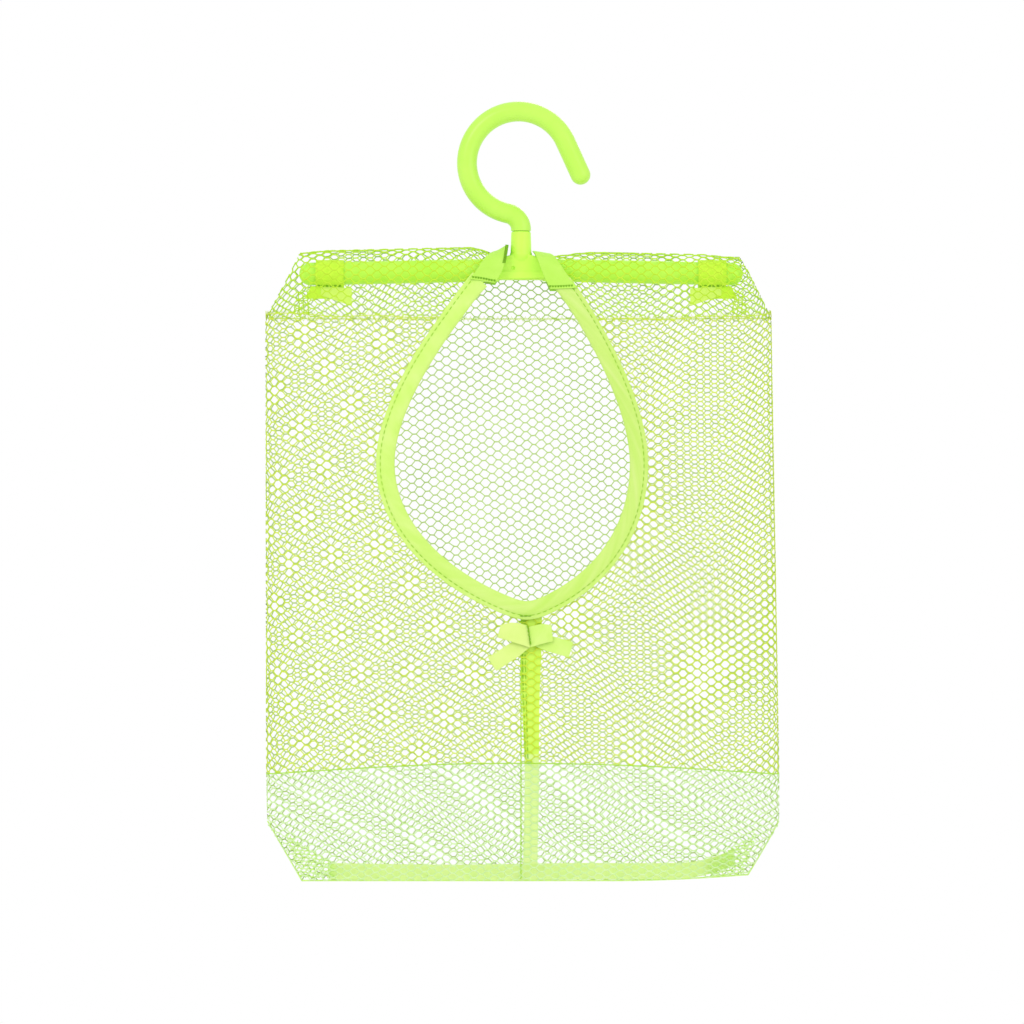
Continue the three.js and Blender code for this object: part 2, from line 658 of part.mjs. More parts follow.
// A panel of net between heights: the whole width of the bag, or one side of its centre seam.
function netPanel(side, heights, leftAt, rightAt, besideMouth) {
  const right = heights.map((z) => new THREE.Vector2(rightAt(z), z));
  const left = heights.map((z) => new THREE.Vector2(leftAt(z), z)).reverse();
  const blank = netBlank(tilesWithin([...right, ...left], besideMouth));
  const flat = bend(blank, (x, z, w) => new THREE.Vector3(netP(side, x, z), z, w));
  return laid(flat, (p, z) => netPoint(side, p, z));
}

const sides = [['left', -1], ['right', 1]];
const halfSeam = SEAM_GAP / 2;
const seamP = 1 - Math.sqrt(1 - halfSeam / BODY_HALF);
const ridgeT = halfSeam / (arcLength + slopeLength);

for (const [name, sign] of sides) {
  const roof = sheet(
    (u, v) => roofNetPoint(sign * lerp(seamP, 1, u), -lerp(1 - ridgeT, ridgeT, v)),
    NET_THICKNESS, PANEL_COLUMNS, ROOF_ROWS,
  );
  addNode(`roof_net_front_${name}`, roof.subtract(mouthTool), netYarn());
}
const roofBack = sheet(
  (u, v) => roofNetPoint(lerp(-1, 1, u), lerp(1 - ridgeT, ridgeT, v)),
  NET_THICKNESS, 2 * PANEL_COLUMNS, ROOF_ROWS,
);
addNode('roof_net_back', roofBack.subtract(notchTool), netYarn());

const bodyHeights = [hemZ + halfSeam, shoulderZ - halfSeam];
const lowHeights = [bottomZ, sideZ, hemZ - halfSeam];
for (const [name, sign] of sides) {
  const rightAt = (z) => (sign > 0 ? edgeX('front', z) : -halfSeam);
  const leftAt = (z) => (sign > 0 ? halfSeam : -edgeX('front', z));
  const front = netPanel('front', bodyHeights, leftAt, rightAt, true);
  addNode(`front_net_${name}`, front.subtract(mouthTool), netYarn());
  addNode(`bottom_net_${name}`, netPanel('front', lowHeights, leftAt, rightAt, false), bottomYarn());
}
const backHeights = [bottomZ, sideZ, hemZ, shoulderZ - halfSeam];
const back = netPanel('back', backHeights, (z) => -edgeX('back', z), (z) => edgeX('back', z), false);
addNode('back_net', back, netYarn());

// Binding: ribbon folded round the net's cut edge, with the net between its two layers.
const layerIn = NET_THICKNESS / 2 + SEAM_GAP;
const layerOut = layerIn + RIBBON_THICKNESS;
const bindingSection = new THREE.Shape();
bindingSection.moveTo(bindingHalf, -layerOut);
bindingSection.lineTo(-bindingHalf, -layerOut);
bindingSection.lineTo(-bindingHalf, layerOut);
bindingSection.lineTo(bindingHalf, layerOut);
bindingSection.lineTo(bindingHalf, layerIn);
bindingSection.lineTo(RIBBON_THICKNESS - bindingHalf, layerIn);
bindingSection.lineTo(RIBBON_THICKNESS - bindingHalf, -layerIn);
bindingSection.lineTo(bindingHalf, -layerIn);
bindingSection.closePath();
const binding = bend(extrude(bindingSection, mouthSteps, mouthSteps), (w, h, along) => {
  const p = mouthOffset(Math.round(along), w);
  const slope = netY('front', p.x, p.y + 0.5) - netY('front', p.x, p.y - 0.5);
  const stretch = Math.hypot(1, slope);
  return new THREE.Vector3(p.x, netY('front', p.x, p.y) + h * stretch, p.y);
});
const aboveMouth = toSolid(new THREE.BoxGeometry(BODY_HALF * 2, HEM_FRONT * 4, 4 * BINDING_WIDTH)
  .translate(0, 0, mouthTopZ + 2 * BINDING_WIDTH));
addNode('opening_binding', toSolid(binding).subtract(aboveMouth), ribbon());

// Hanger loops: the ends of the mouth's ribbon, over the ridge and down the back to their tacks.
const footT = arcShare + (1 - arcShare) * LOOP_FOOT_DROP / SHOULDER_DROP;
for (const [name, sign] of sides) {
  const lift = layerIn + RIBBON_THICKNESS / 2;
  const loop = sheet((u, v) => {
    const t = lerp(-footT, footT, v);
    const spread = Math.abs(2 * v - 1);
    const middle = lerp(LOOP_TOP_X, LOOP_FOOT_X, spread ** 1.4);
    const width = lerp(LOOP_TOP_WIDTH, LOOP_FOOT_WIDTH, spread);
    return roofPoint(sign * (middle + (u - 0.5) * width), t);
  }, RIBBON_THICKNESS, 2, 18, sign * lift);
  addNode(`hanger_loop_${name}`, loop, ribbon());
}

// End ribbons: a loop round the bar, closed by a seam under it, with a tail that points inwards.
const loopIn = barRadius + RIBBON_SLACK;
const loopOut = loopIn + RIBBON_THICKNESS;
const endLoopX = armReach - END_LOOP_INSET;
for (const [name, sign] of sides) {
  const axisZ = barAxisAt(endLoopX);
  const outline = new THREE.Shape();
  const wrap = Math.acos(loopOut / END_SEAM_DROP) - Math.PI / 2;
  outline.moveTo(RIBBON_THICKNESS, -END_SEAM_DROP);
  outline.absarc(0, 0, loopOut, wrap, Math.PI - wrap, false);
  outline.lineTo(-RIBBON_THICKNESS, -END_SEAM_DROP);
  outline.closePath();
  outline.holes.push(new THREE.Path().absarc(0, 0, loopIn, 0, 2 * Math.PI, true));
  const ring = extrude(outline, END_LOOP_WIDTH, 1, 2 * BEND_SIDES)
    .rotateX(Math.PI / 2).rotateZ(Math.PI / 2)
    .translate(sign * endLoopX - END_LOOP_WIDTH / 2, 0, axisZ);
  const tail = new THREE.BoxGeometry(TAIL_LENGTH, 2 * RIBBON_THICKNESS, TAIL_WIDTH)
    .rotateY(sign * -degToRad(TAIL_TILT))
    .translate(sign * endLoopX, 0, axisZ - END_SEAM_DROP - TAIL_WIDTH / 2 + RIBBON_THICKNESS);
  addNode(`end_ribbon_${name}`, toSolid(ring).add(toSolid(tail)), ribbon());
}

// Centre seam tape: inside the net, right of the centre seam, from under the bow to near the bottom edge.
const bowZ = barAxisZ - BOW_DROP;
const tapeTopZ = bowZ - TAPE_UNDER_BOW;
const tapeFootZ = bottomZ + TAPE_FOOT_RISE;
const tape = sheet((u, v) => {
  const z = v < 0.5 ? lerp(tapeFootZ, hemZ, 2 * v) : lerp(hemZ, tapeTopZ, 2 * v - 1);
  const x = SEAM_GAP + u * TAPE_WIDTH;
  return new THREE.Vector3(x, netY('front', x, z), z);
}, RIBBON_THICKNESS, 1, 8, -layerIn - RIBBON_THICKNESS / 2);
addNode('centre_seam_tape', tape, ribbon());

// Bottom seam tape: between the two nets along the bottom edge.
const bottomTape = sheet((u, v) => {
  const x = lerp(-1, 1, u) * (bottomHalf - BOTTOM_TAPE_INSET);
  const z = bottomZ + v * BOTTOM_TAPE_WIDTH;
  return new THREE.Vector3(x, netY('back', x, z), z);
}, RIBBON_THICKNESS, 12, 1, netStack);
addNode('bottom_seam_tape', bottomTape, ribbon());

// Bow under the mouth: two flat loops on two tails, pinched at the knot.
const bowBackAt = (x, z) => netY('front', x, z) - NET_THICKNESS / 2 - SEAM_GAP;
const tailStack = RIBBON_THICKNESS + SEAM_GAP;

function bowLoop(sign, length, endHeight) {
  const half = BOW_LOOP_DEPTH / 2;
  const outer = new THREE.Shape();
  outer.moveTo(halfSeam, -half);
  outer.lineTo(length - half, -half);
  outer.absarc(length - half, 0, half, -Math.PI / 2, Math.PI / 2, false);
  outer.lineTo(halfSeam, half);
  outer.closePath();
  const room = new THREE.Path();
  const inner = half - RIBBON_THICKNESS;
  room.moveTo(BOW_LOOP_DEPTH, -inner);
  room.lineTo(length - half, -inner);
  room.absarc(length - half, 0, inner, -Math.PI / 2, Math.PI / 2, false);
  room.lineTo(BOW_LOOP_DEPTH, inner);
  room.closePath();
  outer.holes.push(room);
  const rise = Math.tan(degToRad(BOW_LOOP_TILT));
  return toSolid(bend(extrude(outer, 1, 1, BEND_SIDES), (x, y, h) => {
    const z = bowZ + x * rise + (h - 0.5) * lerp(BOW_KNOT_HEIGHT, endHeight, x / length);
    return new THREE.Vector3(BOW_X + sign * x, bowBackAt(BOW_X, z) - tailStack - half + y, z);
  }));
}

function bowTail(sign, length, tiltDegrees) {
  const tilt = degToRad(tiltDegrees);
  return toSolid(bend(new THREE.BoxGeometry(1, RIBBON_THICKNESS, BOW_TAIL_WIDTH, 6, 1, 1), (bx, by, bz) => {
    const reach = (bx + 0.5) * length;
    const x = BOW_X + sign * Math.max(halfSeam, reach * Math.cos(tilt) - bz * Math.sin(tilt));
    const z = bowZ - BOW_TAIL_DROP - reach * Math.sin(tilt) - bz * Math.cos(tilt);
    return new THREE.Vector3(x, bowBackAt(x, z) - RIBBON_THICKNESS / 2 + by, z);
  }));
}

addNode('bow_loop_left', bowLoop(-1, BOW_LOOP_LEFT_LENGTH, BOW_LOOP_LEFT_HEIGHT), ribbon());
addNode('bow_loop_right', bowLoop(1, BOW_LOOP_RIGHT_LENGTH, BOW_LOOP_RIGHT_HEIGHT), ribbon());
addNode('bow_tail_left', bowTail(-1, BOW_TAIL_LEFT_LENGTH, BOW_TAIL_LEFT_TILT), ribbon());
addNode('bow_tail_right', bowTail(1, BOW_TAIL_RIGHT_LENGTH, BOW_TAIL_RIGHT_TILT), ribbon());

export default object;
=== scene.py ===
import math

import bmesh
import bpy
import numpy as np
from mathutils import Matrix, Vector


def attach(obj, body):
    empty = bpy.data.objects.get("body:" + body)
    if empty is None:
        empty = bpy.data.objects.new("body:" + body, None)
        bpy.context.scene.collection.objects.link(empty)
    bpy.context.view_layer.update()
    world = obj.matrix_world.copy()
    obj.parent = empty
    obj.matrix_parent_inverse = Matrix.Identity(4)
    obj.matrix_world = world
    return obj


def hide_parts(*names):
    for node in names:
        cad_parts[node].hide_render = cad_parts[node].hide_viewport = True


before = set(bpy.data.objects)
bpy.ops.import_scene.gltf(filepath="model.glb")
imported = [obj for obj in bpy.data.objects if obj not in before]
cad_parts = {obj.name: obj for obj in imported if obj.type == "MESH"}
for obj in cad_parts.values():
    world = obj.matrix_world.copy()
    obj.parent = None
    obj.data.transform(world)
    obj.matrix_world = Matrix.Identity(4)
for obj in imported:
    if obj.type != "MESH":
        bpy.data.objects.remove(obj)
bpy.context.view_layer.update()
rng = np.random.default_rng(11)
MM = 0.001

# Sizes shared with the solids, in millimetres
ROD_RADIUS, CROWN_RADIUS, CROWN_SHIFT = 5.0, 20.75, -1.25
ARM_ANGLE, ARM_LENGTH, NECK_ANGLE, NECK_STRAIGHT = math.radians(24.5), 18.2, math.radians(258), 0.6
PIN_RADIUS, HEAD_RADIUS, HEAD_HEIGHT, HEAD_SLOT = 2.0, 2.6, 3.4, 1.1
FACE_CLEARANCE, SOCKET_TO_BAR, BORE_DEPTH = 0.3, 19.0, 14.8
BAR_RADIUS, ARM_REACH, BAR_DROOP = 5.75, 111.0, 2.4
ROOF_RADIUS, SHOULDER_DROP, SHOULDER_DEPTH = 9.4, 24.25, 13.0
HEM_DROP, SIDE_DROP, BOTTOM_DROP = 248.5, 276.0, 306.5
RIDGE_HALF, SHOULDER_HALF, BODY_HALF, BOTTOM_HALF = 110.5, 127.0, 127.5, 110.5
HEM_FRONT, HEM_BACK, BOTTOM_BACK = -22.0, 13.5, 14.0
LAYER, LAYER_CLEARANCE = 0.9, 0.2

crown_line = CROWN_RADIUS + ROD_RADIUS
neck_x = CROWN_SHIFT + crown_line * math.cos(NECK_ANGLE)
neck_z = -CROWN_RADIUS + crown_line * math.sin(NECK_ANGLE)
neck_fall = NECK_ANGLE - 1.5 * math.pi
neck_radius = -neck_x / (1 + math.sin(neck_fall))
neck_centre = (neck_x + neck_radius * math.sin(neck_fall), neck_z - neck_radius * math.cos(neck_fall))
HOOK_BASE_Z = neck_centre[1] - NECK_STRAIGHT
SOCKET_TOP_Z = HOOK_BASE_Z - FACE_CLEARANCE
BAR_Z = SOCKET_TOP_Z - SOCKET_TO_BAR
SHOULDER_Z = BAR_Z - SHOULDER_DROP
HEM_Z = BAR_Z - HEM_DROP
BOTTOM_Z = BAR_Z - BOTTOM_DROP
FRONT_WAY, BACK_WAY, UP_WAY = np.array([[0.0, -1.0, 0.0], [0.0, 1.0, 0.0], [0.0, 0.0, 1.0]])
HANDS = (("left", -1), ("right", 1))


# Helpers for shapes and meshes

def unit(v):
    return v / np.maximum(np.linalg.norm(v, axis=-1, keepdims=True), 1e-12)


def clamped(share):
    return np.clip(share, 0, 1)


def bell(x, middle, spread):
    return np.exp(-((x - middle) / spread) ** 2)


def along_grid(count, low=0, high=1):
    return np.linspace(low, high, count)[:, None]


def across_grid(count, low=0, high=1):
    return np.linspace(low, high, count)[None, :]


def new_object(name, data):
    ob = bpy.data.objects.new(name, data)
    bpy.context.scene.collection.objects.link(ob)
    return ob


def make_mesh(name, verts, quads, tris=(), uv=None, uv_name="weave", sharp=None):
    """A mesh object from vertices in millimetres and arrays of faces, with a map of one place per vertex."""
    quads = np.asarray(quads, dtype=np.int64).reshape(-1, 4)
    tris = np.asarray(tris, dtype=np.int64).reshape(-1, 3)
    me = bpy.data.meshes.new(name)
    me.from_pydata((np.asarray(verts) * MM).tolist(), [], quads.tolist() + tris.tolist(), shade_flat=False)
    if uv is not None:
        corners = np.concatenate([quads.ravel(), tris.ravel()])
        layer = me.uv_layers.new(name=uv_name)
        layer.uv.foreach_set("vector", np.asarray(uv, dtype=np.float32)[corners].ravel())
    me.validate()
    if sharp is not None:
        me.set_sharp_from_angle(angle=math.radians(sharp))
    return new_object(name, me)


def facing_out(ob, weld=0.0):
    """Turns a mesh's faces outwards, after joining vertices that lie within weld metres of each other."""
    bm = bmesh.new()
    bm.from_mesh(ob.data)
    if weld:
        bmesh.ops.remove_doubles(bm, verts=bm.verts, dist=weld)
    bmesh.ops.recalc_face_normals(bm, faces=bm.faces)
    bm.to_mesh(ob.data)
    bm.free()
    return ob


def ring_around(along, hint, turn):
    """Directions at given turns round each stretch of a line, with up kept near the hint."""
    side = unit(np.cross(along, hint))
    up = np.cross(side, along)
    return np.cos(turn)[None, :, None] * side[:, None, :] + np.sin(turn)[None, :, None] * up[:, None, :]


def ring_quads(starts, sides):
    """Quads from each ring of vertices that begins at one of the starts to the ring after it."""
    k = np.arange(sides)
    j = (k + 1) % sides
    here = np.asarray(starts)[:, None]
    there = here + sides
    return np.stack([here + k, here + j, there + j, there + k], -1).reshape(-1, 4)


def tube_parts(path, radius, sides, hint):
    """Vertices, quads and cap triangles of a round tube along a path. The radius may vary along it."""
    count = len(path)
    turn = np.arange(sides) * 2 * math.pi / sides
    ring = ring_around(unit(np.gradient(path, axis=0)), hint, turn)
    radii = np.broadcast_to(np.asarray(radius, dtype=float), (count,))
    verts = (path[:, None, :] + ring * radii[:, None, None]).reshape(-1, 3)
    k = np.arange(sides)
    j = (k + 1) % sides
    end = (count - 1) * sides
    first = np.stack([np.full(sides, count * sides), j, k], -1)
    last = np.stack([np.full(sides, count * sides + 1), end + k, end + j], -1)
    quads = ring_quads(np.arange(count - 1) * sides, sides)
    return np.concatenate([verts, path[:1], path[-1:]]), quads, np.concatenate([first, last])


def joined(parts):
    """Several sets of vertices, quads and triangles as one."""
    verts, quads, tris = zip(*parts)
    starts = np.cumsum([0] + [len(part) for part in verts])
    quads, tris = (np.concatenate([f + start for f, start in zip(faces, starts)]) for faces in (quads, tris))
    return np.concatenate(verts), quads, tris


def points_at(x, y, z):
    """Points from coordinates that may be single values, rows or columns."""
    return np.stack(np.broadcast_arrays(x, y, z), -1)


def run_along(points, axis=0):
    """Distance run along a path, or along one direction of a grid of points."""
    step = np.linalg.norm(np.diff(points, axis=axis), axis=-1)
    start = np.zeros_like(np.take(step, [0], axis=axis))
    return np.concatenate([start, np.cumsum(step, axis=axis)], axis)


def length_of(path):
    return float(run_along(path)[-1])


def sampled(at, run, path):
    """A path's points at given distances, where run holds the distances of its own points."""
    return np.stack([np.interp(at, run, column) for column in path.T], -1)


def spaced(path, step):
    """A path's points put at an even distance along it."""
    run = run_along(path)
    count = max(2, int(round(run[-1] / step)) + 1)
    return sampled(np.linspace(0, run[-1], count), run, path)


def softened(line, rounds):
    """A line with its corners eased and its ends left in place."""
    for _ in range(rounds):
        line[1:-1] = (line[:-2] + 2 * line[1:-1] + line[2:]) / 4
    return line


STITCH_SINK = 0.12
STITCH_TAPER = np.array([0.7, 0.95, 1.0, 1.0, 1.0, 0.95, 0.7])


def stitch_parts(path, normal, stitch, gap, radius):
    """Thread stitches along a path: short arched runs of thread that dip into the cloth at their ends."""
    run = run_along(path)
    normal = np.broadcast_to(normal, path.shape)
    arch = np.sin(np.linspace(0, math.pi, len(STITCH_TAPER))) ** 0.6
    arch = arch * (radius + STITCH_SINK) - STITCH_SINK - radius * 0.4
    parts = []
    start = gap / 2
    while start + stitch < run[-1]:
        at = start + stitch * np.linspace(0, 1, len(STITCH_TAPER))
        out = unit(sampled(at, run, normal))
        line = sampled(at, run, path) + out * arch[:, None]
        parts.append(tube_parts(line, radius * STITCH_TAPER, 6, out))
        start += stitch + gap
    return parts


def finish_piece(ob, material, body, nodes=()):
    ob.data.materials.clear()
    ob.data.materials.append(material)
    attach(ob, body)
    if nodes:
        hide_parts(*nodes)
    return ob


def sewn(name, parts, yarn):
    """Threads or seam yarns of the bag as one piece."""
    return finish_piece(make_mesh(name, *joined(parts)), yarn, "bag")


# A ribbon's thickness, its bead along both edges and the thinning at the very edge, and the angle of a crease
RIBBON_THICKNESS, BOW_THICKNESS, CREASE = 0.5, 0.45, 50
SELVEDGE, SELVEDGE_AT, SELVEDGE_SPREAD = 0.25, 0.5, 0.35
EDGE_THINNED, EDGE_SPREAD = 0.35, 0.12


def ribbon_piece(name, grid, weave, nodes=(), thickness=RIBBON_THICKNESS):
    """A woven ribbon of real thickness: rows of points along it, columns across it, thicker at its edges."""
    rows, columns = grid.shape[:2]
    normal = unit(np.cross(np.gradient(grid, axis=0), np.gradient(grid, axis=1)))
    across = run_along(grid, 1)
    edge = np.minimum(across, across[:, -1:] - across)
    bead = SELVEDGE * bell(edge, SELVEDGE_AT, SELVEDGE_SPREAD)
    bead = bead - EDGE_THINNED * bell(edge, 0, EDGE_SPREAD)
    off = normal * (thickness / 2 * (1 + bead))[..., None]
    verts = np.concatenate([(grid + off).reshape(-1, 3), (grid - off).reshape(-1, 3)])
    uv = np.tile(np.stack([run_along(grid), across], -1).reshape(-1, 2), (2, 1))
    index = np.arange(rows * columns).reshape(rows, columns)
    under = index + rows * columns
    faces = [
        (index[:-1, :-1], index[1:, :-1], index[1:, 1:], index[:-1, 1:]),
        (under[:-1, :-1], under[:-1, 1:], under[1:, 1:], under[1:, :-1]),
        (index[:-1, 0], under[:-1, 0], under[1:, 0], index[1:, 0]),
        (index[:-1, -1], index[1:, -1], under[1:, -1], under[:-1, -1]),
        (index[0, :-1], index[0, 1:], under[0, 1:], under[0, :-1]),
        (index[-1, :-1], under[-1, :-1], under[-1, 1:], index[-1, 1:]),
    ]
    quads = np.concatenate([np.stack(corners, -1).reshape(-1, 4) for corners in faces])
    ribbon = facing_out(make_mesh(name, verts, quads, uv=uv, sharp=CREASE))
    return finish_piece(ribbon, weave, "bag", nodes)


# Materials. A pattern is a node with the name of its output

def set_values(node, **values):
    """Sets a node's settings, or its inputs where it has no setting of that name."""
    for key, value in values.items():
        if hasattr(node, key):
            setattr(node, key, value)
        else:
            node.inputs[key.replace("_", " ")].default_value = value
    return node


def add_node(tree, kind, **values):
    return set_values(tree.nodes.new(kind), **values)


def new_material(name, **values):
    mat = bpy.data.materials.new(name)
    mat.use_nodes = True
    tree = mat.node_tree
    return mat, tree, set_values(tree.nodes["Principled BSDF"], **values)


def wire(tree, *links):
    """Links in a node tree, each from a node's output to another node's input."""
    for source, output, node, entry in links:
        tree.links.new(source.outputs[output], node.inputs[entry])


def colour_ramp(tree, low, high, dark=(0, 0, 0), light=(1, 1, 1)):
    ramp = tree.nodes.new("ShaderNodeValToRGB")
    for stop, position, tone in zip(ramp.color_ramp.elements, (low, high), (dark, light)):
        stop.position = position
        stop.color = (*tone, 1)
    return ramp


def two_tone(tree, shader, pattern, low, high, dark, light):
    """Colour that wanders between two tones with a pattern."""
    ramp = colour_ramp(tree, low, high, dark, light)
    wire(tree, (*pattern, ramp, "Fac"), (ramp, "Color", shader, "Base Color"))


def rough_between(tree, shader, pattern, low, high):
    spread = add_node(tree, "ShaderNodeMapRange", To_Min=low, To_Max=high)
    wire(tree, (*pattern, spread, "Value"), (spread, "Result", shader, "Roughness"))


def bumped(tree, shader, pattern, strength, distance):
    bump = add_node(tree, "ShaderNodeBump", Strength=strength, Distance=distance)
    wire(tree, (*pattern, bump, "Height"), (bump, "Normal", shader, "Normal"))


def laid_over(tree, pattern, share, ground):
    """A share of one pattern added to another."""
    both = add_node(tree, "ShaderNodeMath", operation="MULTIPLY_ADD")
    both.inputs[1].default_value = share
    wire(tree, (*pattern, both, 0), (*ground, both, 2))
    return both, "Value"


def moulded_plastic(name, dark, light, rough):
    mat, tree, shader = new_material(name, Specular_IOR_Level=0.35)
    place = tree.nodes.new("ShaderNodeTexCoord")
    cloud = add_node(tree, "ShaderNodeTexNoise", Scale=55.0, Detail=4.0, Roughness=0.55)
    grain = add_node(tree, "ShaderNodeTexNoise", Scale=2600.0, Detail=2.0)
    wire(tree, *((place, "Object", node, "Vector") for node in (cloud, grain)))
    two_tone(tree, shader, (cloud, "Fac"), 0.3, 0.7, dark, light)
    rough_between(tree, shader, (cloud, "Fac"), rough - 0.06, rough + 0.08)
    bumped(tree, shader, (grain, "Fac"), strength=0.12, distance=0.00006)
    return mat


def twisted_yarn(name, dark, light, twist=1900.0):
    mat, tree, shader = new_material(name, Specular_IOR_Level=0.25)
    place = tree.nodes.new("ShaderNodeTexCoord")
    cloud = add_node(tree, "ShaderNodeTexNoise", Scale=90.0, Detail=3.0)
    wave = {"Distortion": 1.5, "Detail": 1.0, "bands_direction": "DIAGONAL"}
    ply = add_node(tree, "ShaderNodeTexWave", Scale=twist, **wave)
    wire(tree, *((place, "Object", node, "Vector") for node in (cloud, ply)))
    two_tone(tree, shader, (cloud, "Fac"), 0.3, 0.7, dark, light)
    rough_between(tree, shader, (ply, "Fac"), 0.62, 0.8)
    bumped(tree, shader, (ply, "Fac"), strength=0.35, distance=0.00008)
    return mat


# Pitch of a wave texture at scale 1, and of the ribbon's ribs and warp, in the units of the ribbon's map
WAVE_PITCH, RIB_PITCH, WARP_PITCH = 0.314, 0.62, 0.36


def woven_ribbon(name, dark, light):
    """Ribbon with ribs across it and finer warp along it, laid out by the ribbon's own map in millimetres."""
    mat, tree, shader = new_material(name, Specular_IOR_Level=0.3, Sheen_Weight=0.08)
    place = add_node(tree, "ShaderNodeUVMap", uv_map="weave")
    wave = {"Distortion": 0.25, "Detail": 1.0}
    ribs = add_node(tree, "ShaderNodeTexWave", Scale=WAVE_PITCH / RIB_PITCH, **wave)
    warp = add_node(tree, "ShaderNodeTexWave", Scale=WAVE_PITCH / WARP_PITCH, bands_direction="Y", **wave)
    cloud = add_node(tree, "ShaderNodeTexNoise", Scale=0.09, Detail=3.0)
    wire(tree, *((place, "UV", node, "Vector") for node in (ribs, warp, cloud)))
    weave = laid_over(tree, (warp, "Fac"), 0.45, (ribs, "Fac"))
    shade = laid_over(tree, weave, 0.22, (cloud, "Fac"))
    two_tone(tree, shader, shade, 0.35, 0.95, dark, light)
    rough_between(tree, shader, (ribs, "Fac"), 0.6, 0.74)
    bumped(tree, shader, weave, strength=0.5, distance=0.00012)
    return mat


HOOK_PLASTIC = moulded_plastic("hook_plastic", (0.49, 0.86, 0.088), (0.54, 0.89, 0.112), 0.3)
# The hanger's lime is set lighter than the hook's to offset the nets' shade on the bar: partly painted light.
LIT_HANGER_PLASTIC = moulded_plastic("hanger_plastic", (0.56, 0.98, 0.075), (0.63, 1.0, 0.107), 0.36)
FRONT_YARN = twisted_yarn("front_yarn", (0.57, 0.75, 0.032), (0.675, 0.835, 0.063))
# The roof's yarn is a darker, greener copy of the front yarn, so the lit strands do not show pale over the
# shaded bar behind them: painted shade.
SHADED_ROOF_YARN = twisted_yarn("roof_yarn", (0.48, 0.78, 0.027), (0.58, 0.84, 0.05))
BACK_YARN = twisted_yarn("back_yarn", (0.425, 0.625, 0.154), (0.535, 0.72, 0.226))
# The bottom net's yarn is a paler copy of the net yarn, for the bottom panel that tilts towards the light:
# painted light.
LIT_BOTTOM_YARN = twisted_yarn("bottom_yarn", (0.63, 0.88, 0.387), (0.72, 0.915, 0.48))
RIBBON = woven_ribbon("ribbon", (0.545, 0.86, 0.115), (0.685, 0.89, 0.255))
BOW_RIBBON = woven_ribbon("bow_ribbon", (0.66, 0.865, 0.197), (0.735, 0.895, 0.274))
STRAP = woven_ribbon("strap", (0.455, 0.83, 0.076), (0.53, 0.865, 0.127))
# Ribbons that lie behind the nets: their own lime, set lighter than the open binding to offset the nets'
# shade over them, so partly painted light.
LIT_TAPE = woven_ribbon("tape", (0.66, 0.97, 0.10), (0.74, 1.0, 0.15))
LIT_LOOP = woven_ribbon("loop", (0.64, 0.98, 0.048), (0.72, 1.0, 0.07))
LIT_TAIL = woven_ribbon("tail", (0.73, 0.97, 0.155), (0.81, 1.0, 0.22))
LIT_BAND = woven_ribbon("band", (0.77, 0.99, 0.33), (0.85, 1.0, 0.43))
THREAD = twisted_yarn("thread", (0.16, 0.42, 0.012), (0.24, 0.52, 0.02), 3000.0)
EDGE_THREAD = twisted_yarn("edge_thread", (0.27, 0.60, 0.02), (0.36, 0.69, 0.035), 3000.0)
HEM_YARN = twisted_yarn("hem_yarn", (0.36, 0.72, 0.03), (0.46, 0.80, 0.06), 2400.0)
CORNER_YARN = twisted_yarn("corner_yarn", (0.62, 0.93, 0.22), (0.72, 0.98, 0.30))
SHOULDER_YARN = twisted_yarn("shoulder_yarn", (0.60, 0.80, 0.06), (0.72, 0.90, 0.11), 2400.0)


# The bag's surface: half width, front, back and squareness of its section at each drop below the bar

BOTTOM_FRONT = BOTTOM_BACK - 2 * LAYER - LAYER_CLEARANCE
SIDE_SHARE = (SIDE_DROP - HEM_DROP) / (BOTTOM_DROP - HEM_DROP)
DROPS = [-ROOF_RADIUS, 0, SHOULDER_DROP, HEM_DROP, SIDE_DROP, BOTTOM_DROP]
BAR_HALF = SHOULDER_HALF + (RIDGE_HALF - SHOULDER_HALF) * SHOULDER_DROP / (SHOULDER_DROP + ROOF_RADIUS)
HALVES = [RIDGE_HALF, BAR_HALF, SHOULDER_HALF, BODY_HALF, BODY_HALF, BOTTOM_HALF]
SIDE_FRONT = HEM_FRONT + (BOTTOM_FRONT - HEM_FRONT) * SIDE_SHARE
FRONTS = [-ROOF_RADIUS, -ROOF_RADIUS, -SHOULDER_DEPTH, HEM_FRONT, SIDE_FRONT, BOTTOM_FRONT]
SIDE_BACK = HEM_BACK + (BOTTOM_BACK - HEM_BACK) * SIDE_SHARE
BACKS = [ROOF_RADIUS, ROOF_RADIUS, SHOULDER_DEPTH, HEM_BACK, SIDE_BACK, BOTTOM_BACK]
POWERS = [16, 16, 5, 5, 5, 24]


def section(z):
    drop = BAR_Z - z
    half, front, back, power = (np.interp(drop, DROPS, row) for row in (HALVES, FRONTS, BACKS, POWERS))
    return half, front, back, power, (front + back) / 2


def fullness(share, power):
    return np.sqrt(np.maximum(0, 1 - np.minimum(1, np.abs(share)) ** power))


def depth_at(side, share, z):
    """Depth of the front or back at a share of its half width."""
    _, front, back, power, crease = section(z)
    edge = front if side < 0 else back
    return crease + (edge - crease) * fullness(share, power)


def net_y(side, x, z):
    return depth_at(side, x / section(z)[0], z)


BILLOW, ROLL, BILLOW_FADE, BILLOW_CLEAR = 0.9, 0.7, 40, 8


def billow(x, z, phase):
    """Soft unevenness of the hanging cloth, still at its seams."""
    drop = BAR_Z - z
    window = 1 - np.minimum(1, np.abs(x) / section(z)[0]) ** 4
    for inside in (drop - SHOULDER_DROP, BOTTOM_DROP - BILLOW_CLEAR - drop):
        window = window * clamped(inside / BILLOW_FADE)
    wave = BILLOW * np.sin(x / 17.5 + phase) * np.sin(z / 26 + 2 * phase)
    return (wave + ROLL * np.sin(x / 31 + z / 38 + phase)) * window


